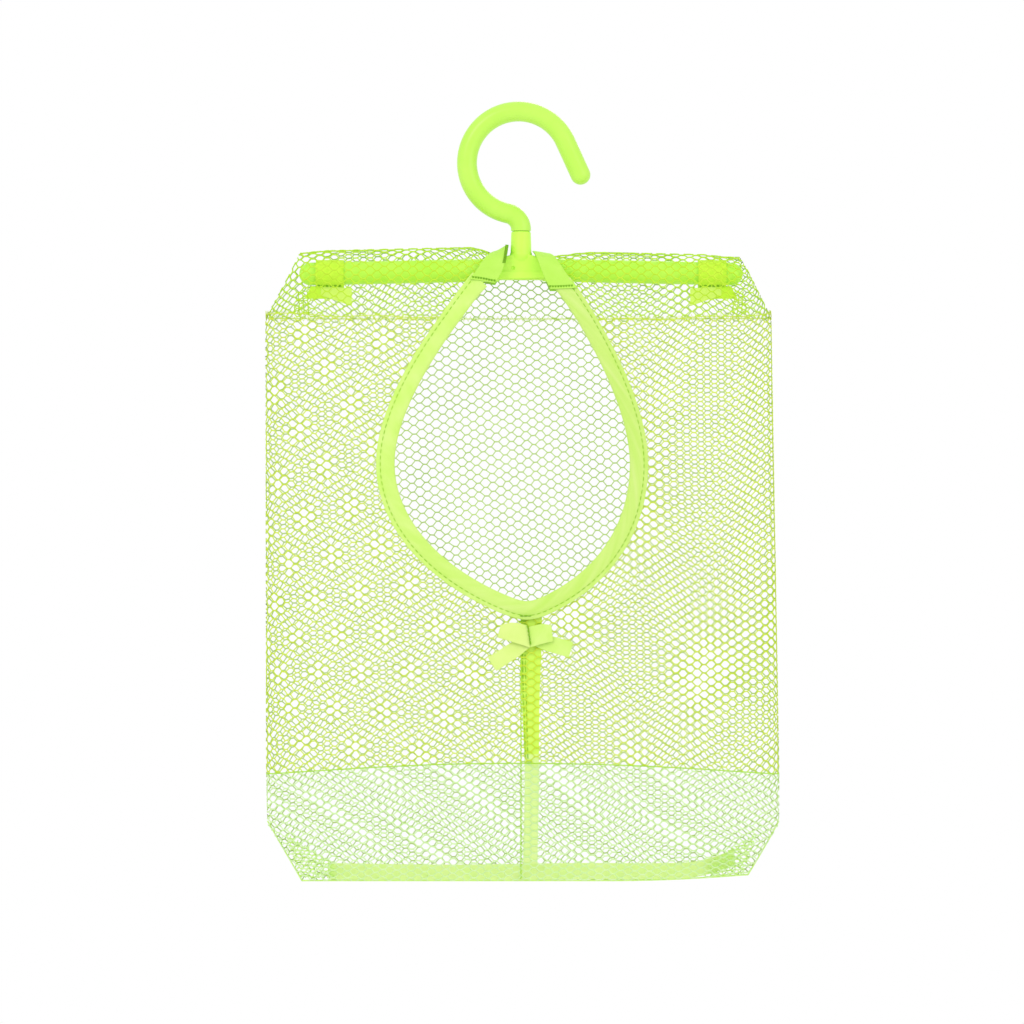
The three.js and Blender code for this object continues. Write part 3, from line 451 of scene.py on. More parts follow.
def ridge_shift(x):
    """How far the hanging ridge lies above the plain one: up on the left, down under the straps."""
    left = 2.2 * clamped(-(x + 15) / 10) * clamped((SHOULDER_HALF + x) / 30)
    right = -2.3 * bell(x, 16, 12) - clamped((x - 92) / 12)
    return left + right - 1.6 * bell(x, -11, 6)


HEM_ARCH, HEM_SAG, HEM_SPREAD = 2.7, 6.0, 30
CORNER_TILT, TILT_FROM, TILT_RUN = 3.0, 45, 65


def drape(points, side):
    """Carries points from the plain surface to the hanging one: a little skew, an arched hem, billow."""
    x, y, z = points[..., 0], points[..., 1], points[..., 2]
    drop = BAR_Z - z
    share = clamped((drop - SHOULDER_DROP) / (SIDE_DROP - SHOULDER_DROP))
    reach = clamped(np.abs(x) / BODY_HALF) ** 3
    roof = clamped((SHOULDER_DROP - drop) / (SHOULDER_DROP + ROOF_RADIUS))
    base = clamped((drop - SIDE_DROP) / (BOTTOM_DROP - SIDE_DROP))
    over, under = clamped(-drop / ROOF_RADIUS), clamped(drop / SHOULDER_DROP)
    right = -1.0 - 1.2 * over - under + 3.6 * share + 4.0 * base
    pull = np.where(x > 0, right, (0.6 - 1.2 * share) * under)
    out = np.sign(x) * reach * pull
    tilt = CORNER_TILT * clamped((x - TILT_FROM) / TILT_RUN) ** 2 * base
    if side < 0:
        rise = (HEM_ARCH - HEM_SAG * (np.abs(x) / BODY_HALF) ** 2) * bell(z, HEM_Z, HEM_SPREAD)
        lift = -billow(x, z, 0.7)
    else:
        rise, lift = 0.0, billow(x, z, 2.1)
    return np.stack([x + out, y + lift, z + rise + tilt + roof * ridge_shift(x)], -1)


def front_at(x, z, lift=0.0):
    """Points on the front of the bag at given x and height, lifted outwards."""
    return drape(points_at(x, net_y(-1, x, z) - lift, z), -1)


ARC = ROOF_RADIUS * math.pi / 2
SLOPE = math.hypot(SHOULDER_DROP, SHOULDER_DEPTH - ROOF_RADIUS)
ROOF_LENGTH = ARC + SLOPE


def roof_section(away):
    """Depth and height of the plain roof, away millimetres along the cloth from the ridge."""
    turn = np.minimum(away / ROOF_RADIUS, math.pi / 2)
    share = clamped((away - ARC) / SLOPE)
    depth = ROOF_RADIUS * np.sin(turn) + (SHOULDER_DEPTH - ROOF_RADIUS) * share
    return depth, BAR_Z + ROOF_RADIUS * np.cos(turn) - SHOULDER_DROP * share


def roof_point(x, run):
    """The roof at a given x, run millimetres along the cloth from the ridge, front negative."""
    depth, z = roof_section(np.abs(run))
    half, _, _, power, _ = section(z)
    droop = BAR_DROOP * np.abs(x) / ARM_REACH * (z - SHOULDER_Z) / (BAR_Z + ROOF_RADIUS - SHOULDER_Z)
    return np.stack([x, np.sign(run) * depth * fullness(x / half, power), z - droop], -1)


class Cloth:
    """A panel on one side of the bag: a runs along the cloth from the centre line, b down it."""

    rows, columns = 141, 281

    def __init__(self, place, length, side):
        self.length, self.side = length, side
        share = 1 - (1 - np.linspace(0, 1, 1201)) ** 2
        points = place(*np.meshgrid(share, np.linspace(0, length, self.rows)))
        arc = run_along(points, 1)
        self.width = arc[:, -1]
        even = np.linspace(0, 1, self.columns)
        self.grid = np.stack([sampled(even * run[-1], run, line) for run, line in zip(arc, points)])

    def reach(self, b):
        return np.interp(b, np.linspace(0, self.length, self.rows), self.width)

    def at(self, a, b):
        row = clamped(b / self.length) * (self.rows - 1)
        i = np.minimum(row.astype(int), self.rows - 2)
        f = (row - i)[..., None]
        column = clamped(np.abs(a) / self.reach(b)) * (self.columns - 1)
        j = np.minimum(column.astype(int), self.columns - 2)
        g = (column - j)[..., None]
        grid = self.grid
        plain = (grid[i, j] * (1 - f) + grid[i + 1, j] * f) * (1 - g)
        plain = plain + (grid[i, j + 1] * (1 - f) + grid[i + 1, j + 1] * f) * g
        plain[..., 0] *= np.where(a < 0, -1, 1)
        return drape(plain, self.side)


def wall(side, top_z, foot_z):
    """The cloth of the front or back between two heights."""
    length = math.hypot(top_z - foot_z, float(net_y(side, 0.0, top_z) - net_y(side, 0.0, foot_z)))

    def place(share, run):
        z = top_z + (foot_z - top_z) * run / length
        return np.stack([section(z)[0] * share, depth_at(side, share, z), z], -1)

    return Cloth(place, length, side)


def roof_cloth(side):
    def place(share, run):
        half = section(roof_section(run)[1])[0]
        return roof_point(half * share, side * np.maximum(run, 0.01))

    return Cloth(place, ROOF_LENGTH, side)


# The mouth's line, the middle of its binding, from the left hanger loop down and round to the right one

def bezier(a, b, c, d, count=60):
    t = along_grid(count)
    a, b, c, d = (np.asarray(p, dtype=float) for p in (a, b, c, d))
    return a * (1 - t) ** 3 + 3 * b * t * (1 - t) ** 2 + 3 * c * t ** 2 * (1 - t) + d * t ** 3


MOUTH_TOP_HALF, MOUTH_TOP_Z, BELLY_Z = 20.6, BAR_Z - 6.0, BAR_Z - 97
MOUTH_FOOT = (3.2, BAR_Z - 171.6)
LEFT_BELLY, LEFT_FILL, RIGHT_BELLY, RIGHT_FILL = 67.75, 0.57, 59.0, 0.66
MOUTH_STEP, MOUTH_ROUNDS = 1.5, 24


def mouth_side(sign, belly_half, fill):
    """One side of the mouth from its top to its foot: the higher its fill, the fuller its foot."""
    top = (sign * MOUTH_TOP_HALF, MOUTH_TOP_Z)
    belly = (sign * belly_half, BELLY_Z)
    fall = top[1] - belly[1]
    rise = belly[1] - MOUTH_FOOT[1]
    lean = (belly_half - MOUTH_TOP_HALF) * 0.54
    from_top = (sign * (MOUTH_TOP_HALF + lean), top[1] - fall * 0.33)
    upper = bezier(top, from_top, (belly[0], belly[1] + fall * 0.28), belly)
    to_foot = (MOUTH_FOOT[0] + (belly[0] - MOUTH_FOOT[0]) * fill, MOUTH_FOOT[1] + rise * 0.175)
    lower = bezier(belly, (belly[0], belly[1] - rise * 0.45), to_foot, MOUTH_FOOT)
    return np.concatenate([upper[:-1], lower])


mouth_left, mouth_right = mouth_side(-1, LEFT_BELLY, LEFT_FILL), mouth_side(1, RIGHT_BELLY, RIGHT_FILL)
mouth_line = spaced(np.concatenate([mouth_left, mouth_right[::-1][1:]]), MOUTH_STEP)
mouth_line = softened(mouth_line, MOUTH_ROUNDS)
mouth_along = unit(np.gradient(mouth_line, axis=0))
mouth_out = np.stack([mouth_along[:, 1], -mouth_along[:, 0]], -1)


def within(x, z, outline):
    """Which points lie inside an outline drawn in the front view."""
    inside = np.zeros(np.shape(x), dtype=bool)
    for (x0, z0), (x1, z1) in zip(outline, np.roll(outline, -1, axis=0)):
        if z0 == z1:
            continue
        crosses = ((z0 > z) != (z1 > z)) & (x < (x1 - x0) * (z - z0) / (z1 - z0) + x0)
        inside ^= crosses
    return inside


# The net's cut edges in the front view: inside the mouth's line in front, and round the socket at the back
CUT_INSIDE = 2.6
ROOF_TOP_Z, NOTCH_Z = BAR_Z + ROOF_RADIUS + 5, BAR_Z - 2
NOTCH_TOP_HALF, NOTCH_LOW_HALF, NOTCH_LOW_Z = 10.6, 19.8, BAR_Z - 7.2
notch_left, notch_right = (-NOTCH_TOP_HALF, ROOF_TOP_Z), (NOTCH_TOP_HALF, ROOF_TOP_Z)
mouth_cut = np.concatenate([[notch_left], mouth_line - CUT_INSIDE * mouth_out, [notch_right]])
notch_half = np.interp(NOTCH_Z, (NOTCH_LOW_Z, ROOF_TOP_Z), (NOTCH_LOW_HALF, NOTCH_TOP_HALF))
notch = np.array([notch_left, (-notch_half, NOTCH_Z), (notch_half, NOTCH_Z), notch_right])


# Net: flat hexagons, a thicker knotted leg across and two thinner strands slanting to the next column

LEG, SLANT_X, SLANT_Z = 1.6, 1.975, 2.185
STRAND, LEG_STRAND, SIDES = 0.285, 0.37, 6
KNIT_JITTER, EDGE_CLEAR, HALVINGS, SHORTEST = 0.11, 0.2, 9, 0.15
MAP_MARGIN, AREA_POINTS = 0.01, 400


def hex_net(name, cloth, low, high, allowed, turn, shift, bend=0.0, gather=1.0):
    """The strands of one panel, low to high across the cloth, where allowed says that there is cloth."""
    span = max(abs(low), abs(high)) + cloth.length
    leg, row = LEG * gather, SLANT_Z * gather
    column = leg + SLANT_X * gather
    ni = int(2 * span / column) + 2
    nj = int(2 * span / (2 * row)) + 2
    i, j = np.meshgrid(np.arange(ni), np.arange(nj), indexing="ij")
    centre = np.stack([(i - ni // 2) * column, (2 * (j - nj // 2) + i % 2) * row], -1).astype(float)
    ends = (-leg / 2, leg / 2)
    left, right = (centre + [end, 0] + rng.normal(0, KNIT_JITTER, centre.shape) for end in ends)
    i, j = (cells[:-1, 1:-1].ravel() for cells in (i, j))
    odd = i % 2
    strands = [
        (left[i, j], right[i, j], LEG_STRAND),
        (right[i, j], left[i + 1, j + odd], STRAND),
        (right[i, j], left[i + 1, j + odd - 1], STRAND),
    ]
    p, q = (np.concatenate([strand[end] for strand in strands]) for end in (0, 1))
    radius = np.repeat([thick for _, _, thick in strands], len(i))
    cos, sin = math.cos(math.radians(turn)), math.sin(math.radians(turn))
    middle = np.array([(low + high) / 2, cloth.length / 2]) + shift

    def laid(v):
        wander = 0.9 * np.sin(v[:, 1:2] / 41 + [[0.4, 1.9]]) + 0.6 * np.sin(v[:, 0:1] / 37 + [[2.2, 0.3]])
        v = v @ np.array([[cos, sin], [-sin, cos]])
        bow = bend * v[:, 0:1] * np.stack([-v[:, 1], v[:, 0] / 2], -1)
        return v + bow + middle + wander

    p, q = laid(p), laid(q)

    def there(v):
        a, b = v[:, 0], v[:, 1]
        ok = (a >= low) & (a <= high) & (b >= 0) & (b <= cloth.length)
        ok &= np.abs(a) <= cloth.reach(np.clip(b, 0, cloth.length)) - EDGE_CLEAR
        return ok & allowed(cloth.at(a, b))

    p_in, q_in = there(p), there(q)
    swap = ~p_in & q_in
    p[swap], q[swap] = q[swap], p[swap].copy()
    keep = p_in | q_in
    cut = (p_in ^ q_in)[keep]
    p, q, radius = p[keep], q[keep], radius[keep]
    share = np.zeros(cut.sum())
    for halving in range(HALVINGS):
        further = share + 0.5 ** (halving + 1)
        inside = there(p[cut] + (q[cut] - p[cut]) * further[:, None])
        share = np.where(inside, further, share)
    q[cut] = p[cut] + (q[cut] - p[cut]) * share[:, None]
    keep = np.linalg.norm(q - p, axis=1) > SHORTEST
    return strand_mesh(name, cloth, p[keep], q[keep], radius[keep])


def strand_mesh(name, cloth, p, q, radius):
    """Strands from p to q on the cloth, each a short tube whose map is its place on the flat cloth."""
    a, b = cloth.at(*p.T), cloth.at(*q.T)
    across, down = (p + q).T / 2
    step = 0.4
    da = cloth.at(across + step, down) - cloth.at(across - step, down)
    below, above = np.minimum(down + step, cloth.length), np.maximum(down - step, 0)
    db = cloth.at(across, below) - cloth.at(across, above)
    along = unit(b - a)
    turn = (np.arange(SIDES) + 0.5) * 2 * math.pi / SIDES
    ring = ring_around(along, unit(np.cross(da, db)), turn) * radius[:, None, None]
    overlap = along * radius[:, None] * 0.4
    a, b = a - overlap, b + overlap
    verts = np.stack([a[:, None, :] + ring, b[:, None, :] + ring], 1).reshape(-1, 3)
    quads = ring_quads(np.arange(len(p)) * 2 * SIDES, SIDES)
    flat = unit(q - p)
    flat = np.stack([flat[:, 1], -flat[:, 0]], -1)
    spread = np.cos(turn)[None, :, None] * flat[:, None, :] * radius[:, None, None]
    place = np.stack([p[:, None, :] + spread, q[:, None, :] + spread], 1).reshape(-1, 2)
    low, high = place.min(0), place.max(0)
    uv = MAP_MARGIN + (1 - 2 * MAP_MARGIN) * (place - low) / (high - low)
    return make_mesh(name, verts, quads, uv=uv, uv_name="OFBake")


def cut_area(cloth, low, high, allowed):
    """Flat area of a panel's cut, in square metres."""
    across, down = np.linspace(low, high, AREA_POINTS), np.linspace(0, cloth.length, AREA_POINTS)
    a, b = (v.ravel() for v in np.meshgrid(across, down))
    ok = (np.abs(a) <= cloth.reach(b)) & allowed(cloth.at(a, b))
    return ok.mean() * (high - low) * cloth.length * 1e-6


def anywhere(points):
    return np.ones(len(points), dtype=bool)


def clear_of(outline):
    return lambda points: ~within(points[:, 0], points[:, 2], outline)


clear_of_mouth, clear_of_notch = clear_of(mouth_cut), clear_of(notch)
front = wall(-1, SHOULDER_Z, HEM_Z)
low_front = wall(-1, HEM_Z, BOTTOM_Z)
back_upper = wall(1, SHOULDER_Z, BOTTOM_Z)
roof_front = roof_cloth(-1)
roof_back = roof_cloth(1)

# Name, cloth, share of the width from and to, cut, turn and shift of the knit, its bend, yarn and slot
PANELS = [
    ("roof_net_front_left", roof_front, -1, 0, clear_of_mouth, 0.6, (0.0, 0.0), 0, SHADED_ROOF_YARN, "net"),
    ("roof_net_front_right", roof_front, 0, 1, clear_of_mouth, -0.5, (1.1, 0.4), 0, SHADED_ROOF_YARN, "net"),
    ("roof_net_back", roof_back, -1, 1, clear_of_notch, -3.0, (0.5, 1.6), 0, BACK_YARN, "net"),
    ("front_net_left", front, -1, 0, clear_of_mouth, 3.2, (0.3, 0.2), 0, FRONT_YARN, "net"),
    ("front_net_right", front, 0, 1, clear_of_mouth, 0.3, (1.9, 1.2), 0, FRONT_YARN, "net"),
    ("back_net", back_upper, -1, 1, anywhere, -3.8, (1.3, 0.9), 0.0005, BACK_YARN, "net"),
    ("bottom_net_left", low_front, -1, 0, anywhere, 3.0, (0.9, 0.1), 0, LIT_BOTTOM_YARN, "bottom_net"),
    ("bottom_net_right", low_front, 0, 1, anywhere, 1.5, (0.2, 1.4), 0, LIT_BOTTOM_YARN, "bottom_net"),
]
for name, cloth, left, right, allowed, turn, shift, bend, yarn, slot in PANELS:
    widest = float(cloth.width.max())
    low, high = left * widest, right * widest
    net = hex_net(name + "_strands", cloth, low, high, allowed, turn, shift, bend)
    finish_piece(net, yarn, "bag", [name])
    area = cut_area(cloth, low, high, allowed)
    flat = ((high - low) * MM, cloth.length * MM)

# Gathered folds behind the net: a triangle turned in at each bottom corner, and a pleat that falls from each
# end of the bar to the shoulder seam. Cloth, reach in from its edge, outline in the front view, turn of the
# knit, cloth taken up, flat size, yarn, slot and the piece that it lies on
CORNER = np.array([(94.0, 1.5), (94.0, 9.0), (118.0, 25.0), (111.0, 1.5)]) + [0, BOTTOM_Z]
PLEAT = np.array([(105.5, -10.5), (110.5, -10.5), (114.0, -23.0), (105.0, -23.0)]) + [0, BAR_Z]
FOLDS = [
    ("corner_fold", low_front, 44, CORNER, 24, 1.75, (0.026, 0.028), CORNER_YARN, "bottom_net", "bottom_net"),
    ("end_pleat", roof_front, 40, PLEAT, 62, 1.8, (0.0130, 0.0135), SHADED_ROOF_YARN, "net", "roof_net_front"),
]
FOLD_SHIFT, FOLD_GATHER = (0.7, 0.9), 0.6
for kind, cloth, reach_in, outline, turn, excess, flat, yarn, slot, under in FOLDS:
    for name, sign in HANDS:
        def in_fold(points, sign=sign, outline=outline):
            return within(sign * points[:, 0], points[:, 2], outline)

        reach = float(cloth.width.max())
        low, high = sorted((sign * (reach - reach_in), sign * reach))
        title = f"{kind}_{name}_strands"
        fold = hex_net(title, cloth, low, high, in_fold, turn * sign, FOLD_SHIFT, gather=FOLD_GATHER)
        fold.data.transform(Matrix.Translation((0, LAYER * MM, 0)))
        finish_piece(fold, yarn, "bag")
        area = min(cut_area(cloth, low, high, in_fold) * excess, flat[0] * flat[1])


# Ribbon round the mouth: folded over the net's cut edge, puffed between its fold and the stitch line

BINDING_OUT, BINDING_IN = 4.5, -3.6
PUFF, PUFF_AT, PUFF_HALF = 0.45, -0.8, 3.2
STITCH_AT, STITCH_DENT, STITCH_SPREAD = 2.4, 0.22, 0.45


def binding_section():
    """Across the unfolded ribbon: place across the mouth's edge, and height off the net."""
    front_w = np.linspace(BINDING_OUT, BINDING_IN, 17)
    puff = PUFF * clamped(1 - ((front_w - PUFF_AT) / PUFF_HALF) ** 2)
    puff = puff - STITCH_DENT * bell(front_w, STITCH_AT, STITCH_SPREAD)
    turn = np.linspace(-math.pi / 2, math.pi / 2, 11)[1:-1]
    w = np.concatenate([front_w, BINDING_IN - LAYER * np.cos(turn), front_w[::-1]])
    h = np.concatenate([-LAYER - puff, LAYER * np.sin(turn), LAYER + puff[::-1]])
    return w, h


def on_mouth(w, h):
    """Points off the mouth's line: w outwards in the front view, h behind the net."""
    at = mouth_line[:, None, :] + mouth_out[:, None, :] * np.reshape(w, (1, -1, 1))
    x, z = at[..., 0], at[..., 1]
    slope = net_y(-1, x, z + 0.5) - net_y(-1, x, z - 0.5)
    y = net_y(-1, x, z) + np.reshape(h, (1, -1)) * np.hypot(1, slope)
    return drape(points_at(x, y, z), -1)


binding = ribbon_piece("mouth_binding_ribbon", on_mouth(*binding_section()), RIBBON, ["opening_binding"])

parts = []
for h, way in ((-LAYER - 0.1, FRONT_WAY), (LAYER + 0.1, BACK_WAY)):
    parts += stitch_parts(on_mouth([STITCH_AT], [h])[:, 0], way, stitch=2.3, gap=0.9, radius=0.2)
sewn("mouth_binding_stitches", parts, EDGE_THREAD)


# Hanger loops: the ends of the mouth's ribbon, carried over the ridge. Side, inner and outer edges at the top
# and at the foot, the foot's drop below the bar, how far the inner edge stands up beside the socket, and how
# late it leans outwards
STRAPS = {
    "left": (-1, 5.9, 13.6, 13.0, 25.5, 5.6, 3.0, 1.9),
    "right": (1, 5.6, 14.5, 14.5, 28.0, 8.4, 0.0, 1.2),
}
OUTER_LEAN, FOOT_RUN, FOOT_LIFT, STRAP_PUFF = 1.2, 3.5, 0.9, 0.25
STRAP_ROWS, STRAP_COLUMNS, TACK_ROW = 61, 15, 2
# Rows and offsets of dark thread over the left strap's inner edge beside the socket, a dark thing that stands
# in for the shade of the gap there: painted shade.
SHADE_WHIP_ROWS = slice(14, 29)
SHADE_WHIP = np.array([[-1.0, -0.3, 0.1], [0.05, -0.55, 0], [0.35, 0, -0.1], [0.05, 0.5, 0]])


def strap_grid(sign, top_in, top_out, foot_in, foot_out, foot_drop, stand, lean):
    foot_run = ARC + SLOPE * foot_drop / SHOULDER_DROP
    v = along_grid(STRAP_ROWS, -1)
    u = across_grid(STRAP_COLUMNS)
    inner = top_in + (foot_in - top_in) * np.abs(v) ** lean
    outer = top_out + (foot_out - top_out) * np.abs(v) ** OUTER_LEAN
    x = sign * (inner + (outer - inner) * u)
    run = np.broadcast_to(v * (foot_run + 1.0), x.shape)
    step = 0.2

    def on_roof(x, run):
        return drape(roof_point(x, run), 1)

    du = on_roof(x + step, run) - on_roof(x - step, run)
    dv = on_roof(x, run + step) - on_roof(x, run - step)
    normal = unit(np.cross(du, dv))
    foot = clamped((np.abs(run) - foot_run + FOOT_RUN) / FOOT_RUN)
    lift = LAYER + FOOT_LIFT * foot + STRAP_PUFF * (1 - (2 * u - 1) ** 2)
    lift = lift + stand * (1 - u) * np.cos(v * math.pi / 2) ** 2
    return (on_roof(x, run) + normal * lift[..., None])[:, ::sign]


for name, shape in STRAPS.items():
    grid = strap_grid(*shape)
    strap = ribbon_piece(f"hanger_loop_{name}_ribbon", grid, STRAP, [f"hanger_loop_{name}"])
    run = length_of(grid[:, STRAP_COLUMNS // 2])
    parts = []
    for row, way in ((TACK_ROW, FRONT_WAY), (-1 - TACK_ROW, BACK_WAY)):
        for shift in (0.0, 0.55):
            line = grid[row] + way * 0.28 - UP_WAY * shift
            parts += stitch_parts(line, way, stitch=1.1, gap=0.25, radius=0.26)
    # Dark thread along the left strap's inner edge stands in for the shade in the gap beside the socket:
    # painted shade.
    if name == "left":
        edge = spaced(grid[SHADE_WHIP_ROWS, -1], 0.6)
        parts += [tube_parts(point + SHADE_WHIP, 0.24, 6, UP_WAY) for point in edge]
    sewn(f"hanger_loop_{name}_stitches", parts, THREAD)


# End ribbons: a loop round the bar, sewn shut under it, with a flap below and a tail that points inwards

END_X, END_WIDTH, END_SEAM, END_COLUMNS = 95.5, 14.0, 7.7, 17
END_AXIS_Z = BAR_Z - BAR_DROOP * END_X / ARM_REACH
LOOP_RADIUS = BAR_RADIUS + 0.85
FLAP_WIDTH, FLAP_TAPER, FLAP_DROP = 13.0, 1.5, 6.4
TAIL_RUN = 15.5


def end_loop_grid(sign):
    wrap = math.acos(LOOP_RADIUS / END_SEAM) - math.pi / 2
    turn = np.linspace(wrap, math.pi - wrap, 41)
    ring = [(LOOP_RADIUS * math.cos(t), LOOP_RADIUS * math.sin(t)) for t in turn]
    leg = [(0.4, -END_SEAM), (0.35, -END_SEAM - 1.4)]
    line = spaced(np.array([*leg[::-1], *ring, *((-y, z) for y, z in leg)]), 0.7)
    x = sign * END_X + across_grid(END_COLUMNS, -0.5, 0.5) * END_WIDTH
    return points_at(x, -line[:, 0:1], END_AXIS_Z + line[:, 1:2])


def end_flap_grid(sign):
    down = along_grid(15)
    side = across_grid(15, -0.5, 0.5)
    x = sign * (END_X + 3.0 + 4.0 * down + (FLAP_WIDTH - FLAP_TAPER * down) * side)
    y = -1.1 - 0.5 * np.sin(2 * down)
    z = END_AXIS_Z - END_SEAM + 1.4 - FLAP_DROP * down
    return points_at(x, y, z)[:, ::-sign]


def end_tail_grid(sign):
    inward = along_grid(25)
    drop = across_grid(13)
    x = sign * (END_X + 4.5 - TAIL_RUN * inward)
    y = -1.9 - 0.8 * np.sin(2.6 * inward) + 0.3 * np.cos(2.5 * drop)
    high = END_AXIS_Z - 6.3 - 1.2 * inward
    low = END_AXIS_Z - 11.0 - 5.4 * inward
    return points_at(x, y, high + (low - high) * drop)[:, ::-sign]


for name, sign in HANDS:
    grid = end_loop_grid(sign)
    loop = ribbon_piece(f"end_loop_{name}_ribbon", grid, LIT_LOOP, [f"end_ribbon_{name}"])
    run = length_of(grid[:, END_COLUMNS // 2])
    flap = ribbon_piece(f"end_flap_{name}_ribbon", end_flap_grid(sign), LIT_LOOP)
    tail = ribbon_piece(f"end_tail_{name}_ribbon", end_tail_grid(sign), LIT_TAIL)
    parts = []
    for drop, out in ((END_SEAM - 1.75, 3.35), (END_SEAM - 1.25, 2.55)):
        line = points_at(np.linspace(-6.6, 6.6, 27) + sign * END_X, -out, END_AXIS_Z - drop)
        parts += stitch_parts(line, FRONT_WAY, stitch=1.6, gap=0.5, radius=0.28)
    sewn(f"end_loop_{name}_stitches", parts, THREAD)


# Centre tape, inside the net right of the centre seam, and bottom tape between the nets

TAPE_WIDTH, TAPE_NARROWS, TAPE_LEAN = 10, 2.9, 1.4
LEAN_TOP_Z, LEAN_RUN = BAR_Z - 192, 54
TAPE_COLUMNS = 13
TAPES = [
    ("centre_tape_ribbon", BAR_Z - 173.0, HEM_Z + 4.5, LIT_TAPE, "front_net_right", ["centre_seam_tape"]),
    ("centre_tape_low_ribbon", HEM_Z + 4.5, BOTTOM_Z + 8.8, LIT_BAND, "bottom_net_right", []),
]


def tape_share(z):
    """How much of its lean and narrowing the centre tape has taken on at a height."""
    return clamped((LEAN_TOP_Z - z) / LEAN_RUN)


for name, top_z, foot_z, weave, under, nodes in TAPES:
    z = spaced(np.array([[top_z], [foot_z]]), 1.6)
    u = across_grid(TAPE_COLUMNS)
    share = tape_share(z)
    x = 0.1 + TAPE_LEAN * share + (TAPE_WIDTH - TAPE_NARROWS * share) * u + 0.3 * np.sin(z / 14)
    grid = front_at(x, z, lift=-1.0 - 0.12 * np.sin(z / 9))
    tape = ribbon_piece(name, grid, weave, nodes)
    run = length_of(grid[:, TAPE_COLUMNS // 2])
    wide = float(run_along(grid, 1)[:, -1].mean())
    area = wide * run * 1e-6
z = np.linspace(BAR_Z - 188, HEM_Z, 60)
parts = []
for at in (0.7, 2.0):
    line = front_at(at + TAPE_LEAN * tape_share(z), z, lift=-0.6)
    parts += stitch_parts(line, FRONT_WAY, stitch=2.4, gap=0.9, radius=0.22)
sewn("centre_tape_stitches", parts, EDGE_THREAD)

BOTTOM_LEFT, BOTTOM_RIGHT, BOTTOM_TAPE_WIDTH = -97, 105, 8.2
RISE_FROM, RISE = 78, 6.5
x = along_grid(103, BOTTOM_LEFT, BOTTOM_RIGHT)
v = across_grid(11)
rise = RISE * clamped((x - RISE_FROM) / (BOTTOM_RIGHT - RISE_FROM)) ** 2
z = BOTTOM_Z + 0.2 + BOTTOM_TAPE_WIDTH * v + 0.4 * np.sin(x / 23) + rise
bottom_grid = drape(points_at(x, net_y(1, x, z) - LAYER, z), 1)
bottom_tape = ribbon_piece("bottom_tape_ribbon", bottom_grid, LIT_BAND, ["bottom_seam_tape"])
run = length_of(bottom_grid[:, 5])
area = 0.0082 * run * MM


# Bow under the mouth, its heights counted from the top of the knot

KNOT_TOP_Z, KNOT_HEIGHT = -251.2, 11.2
EDGE_STEP, EDGE_ROUNDS = 0.25, 60
TAIL_START, TAIL_SPREAD, TAIL_OPENS = 5.5, 2.4, 2.5


def bow_y(x, z):
    return front_at(x, z)[..., 1] - 0.6


def smooth_edge(points, share):
    """Places on a smooth line through points of the bow, at shares of it from first to last."""
    line = softened(spaced(np.array(points) + [0, KNOT_TOP_Z], EDGE_STEP), EDGE_ROUNDS)
    return sampled(share, np.linspace(0, 1, len(line)), line)


# The loops' upper and lower edges, from the knot out, how far they puff, and ribbon
BOW_LOOPS = {
    "left": (
        [(3.4, -0.5), (-0.6, 0.8), (-5.6, 1.3), (-9.9, 0.0)],
        [(4.3, -11.2), (1.0, -10.0), (-5.6, -8.0), (-11.6, -6.2)],
        1.8, BOW_RIBBON,
    ),
    "right": (
        [(4.0, -0.9), (11.0, 0.7), (14.8, -0.2)],
        [(4.7, -11.1), (10.0, -9.4), (15.7, -8.1)],
        1.1, RIBBON,
    ),
}
for name, (upper, lower, puff, weave) in BOW_LOOPS.items():
    s = along_grid(49)
    v = across_grid(15)
    reach = np.sin(np.pi * s) ** 0.55
    flat_place = smooth_edge(lower, reach) * (1 - v[..., None]) + smooth_edge(upper, reach) * v[..., None]
    x, z = flat_place[..., 0], flat_place[..., 1]
    bulge = (0.5 - 0.5 * np.cos(np.pi * s)) * np.sin(np.pi * s) ** 0.2
    y = bow_y(x, z) - 1.8 - puff * bulge - 0.35 * np.cos(5 * (v - 0.5)) * np.sin(np.pi * s)
    grid = points_at(x, y, z)
    if name == "left":
        grid = grid[:, ::-1]
    loop = ribbon_piece(f"bow_loop_{name}_ribbon", grid, weave, [f"bow_loop_{name}"], BOW_THICKNESS)
    run = length_of(grid[:, 7])

# The tails' start, length, slope and ribbon
BOW_TAILS = {
    "left": ((4.5, -7.3), 22.5, 180 + 33, BOW_RIBBON),
    "right": ((5.0, -6.7), 20.6, -16, RIBBON),
}
for name, (start, length, angle, weave) in BOW_TAILS.items():
    turn = math.radians(angle)
    u = along_grid(25)
    v = across_grid(13, -0.5, 0.5)
    width = TAIL_START + TAIL_SPREAD * np.minimum(1, u * TAIL_OPENS)
    x = start[0] + length * u * math.cos(turn) - v * width * math.sin(turn)
    z = KNOT_TOP_Z + start[1] + length * u * math.sin(turn) + v * width * math.cos(turn)
    grid = np.stack([x, bow_y(x, z) - 0.25 - 0.5 * np.sin(u * 3.0), z], -1)
    tail = ribbon_piece(f"bow_tail_{name}_ribbon", grid, weave, [f"bow_tail_{name}"], BOW_THICKNESS)

down = np.linspace(0, KNOT_HEIGHT, 26)
x, z = 3.1 + 0.17 * down, KNOT_TOP_Z - down
parts = stitch_parts(points_at(x, bow_y(x, z) - 2.6, z), FRONT_WAY, stitch=1.5, gap=0.5, radius=0.34)
for left, right, above, lift in ((-0.6, 5.2, 4.4, 1.5), (-1.2, 3.6, 1.8, 0.9)):
    line = front_at(np.linspace(left, right, 18), KNOT_TOP_Z + above, lift)
    parts += stitch_parts(line, FRONT_WAY, stitch=1.5, gap=0.4, radius=0.24)
sewn("bow_stitches", parts, THREAD)


# Seams: overlocked yarn along the panels' edges

SEAM_POINTS = 90


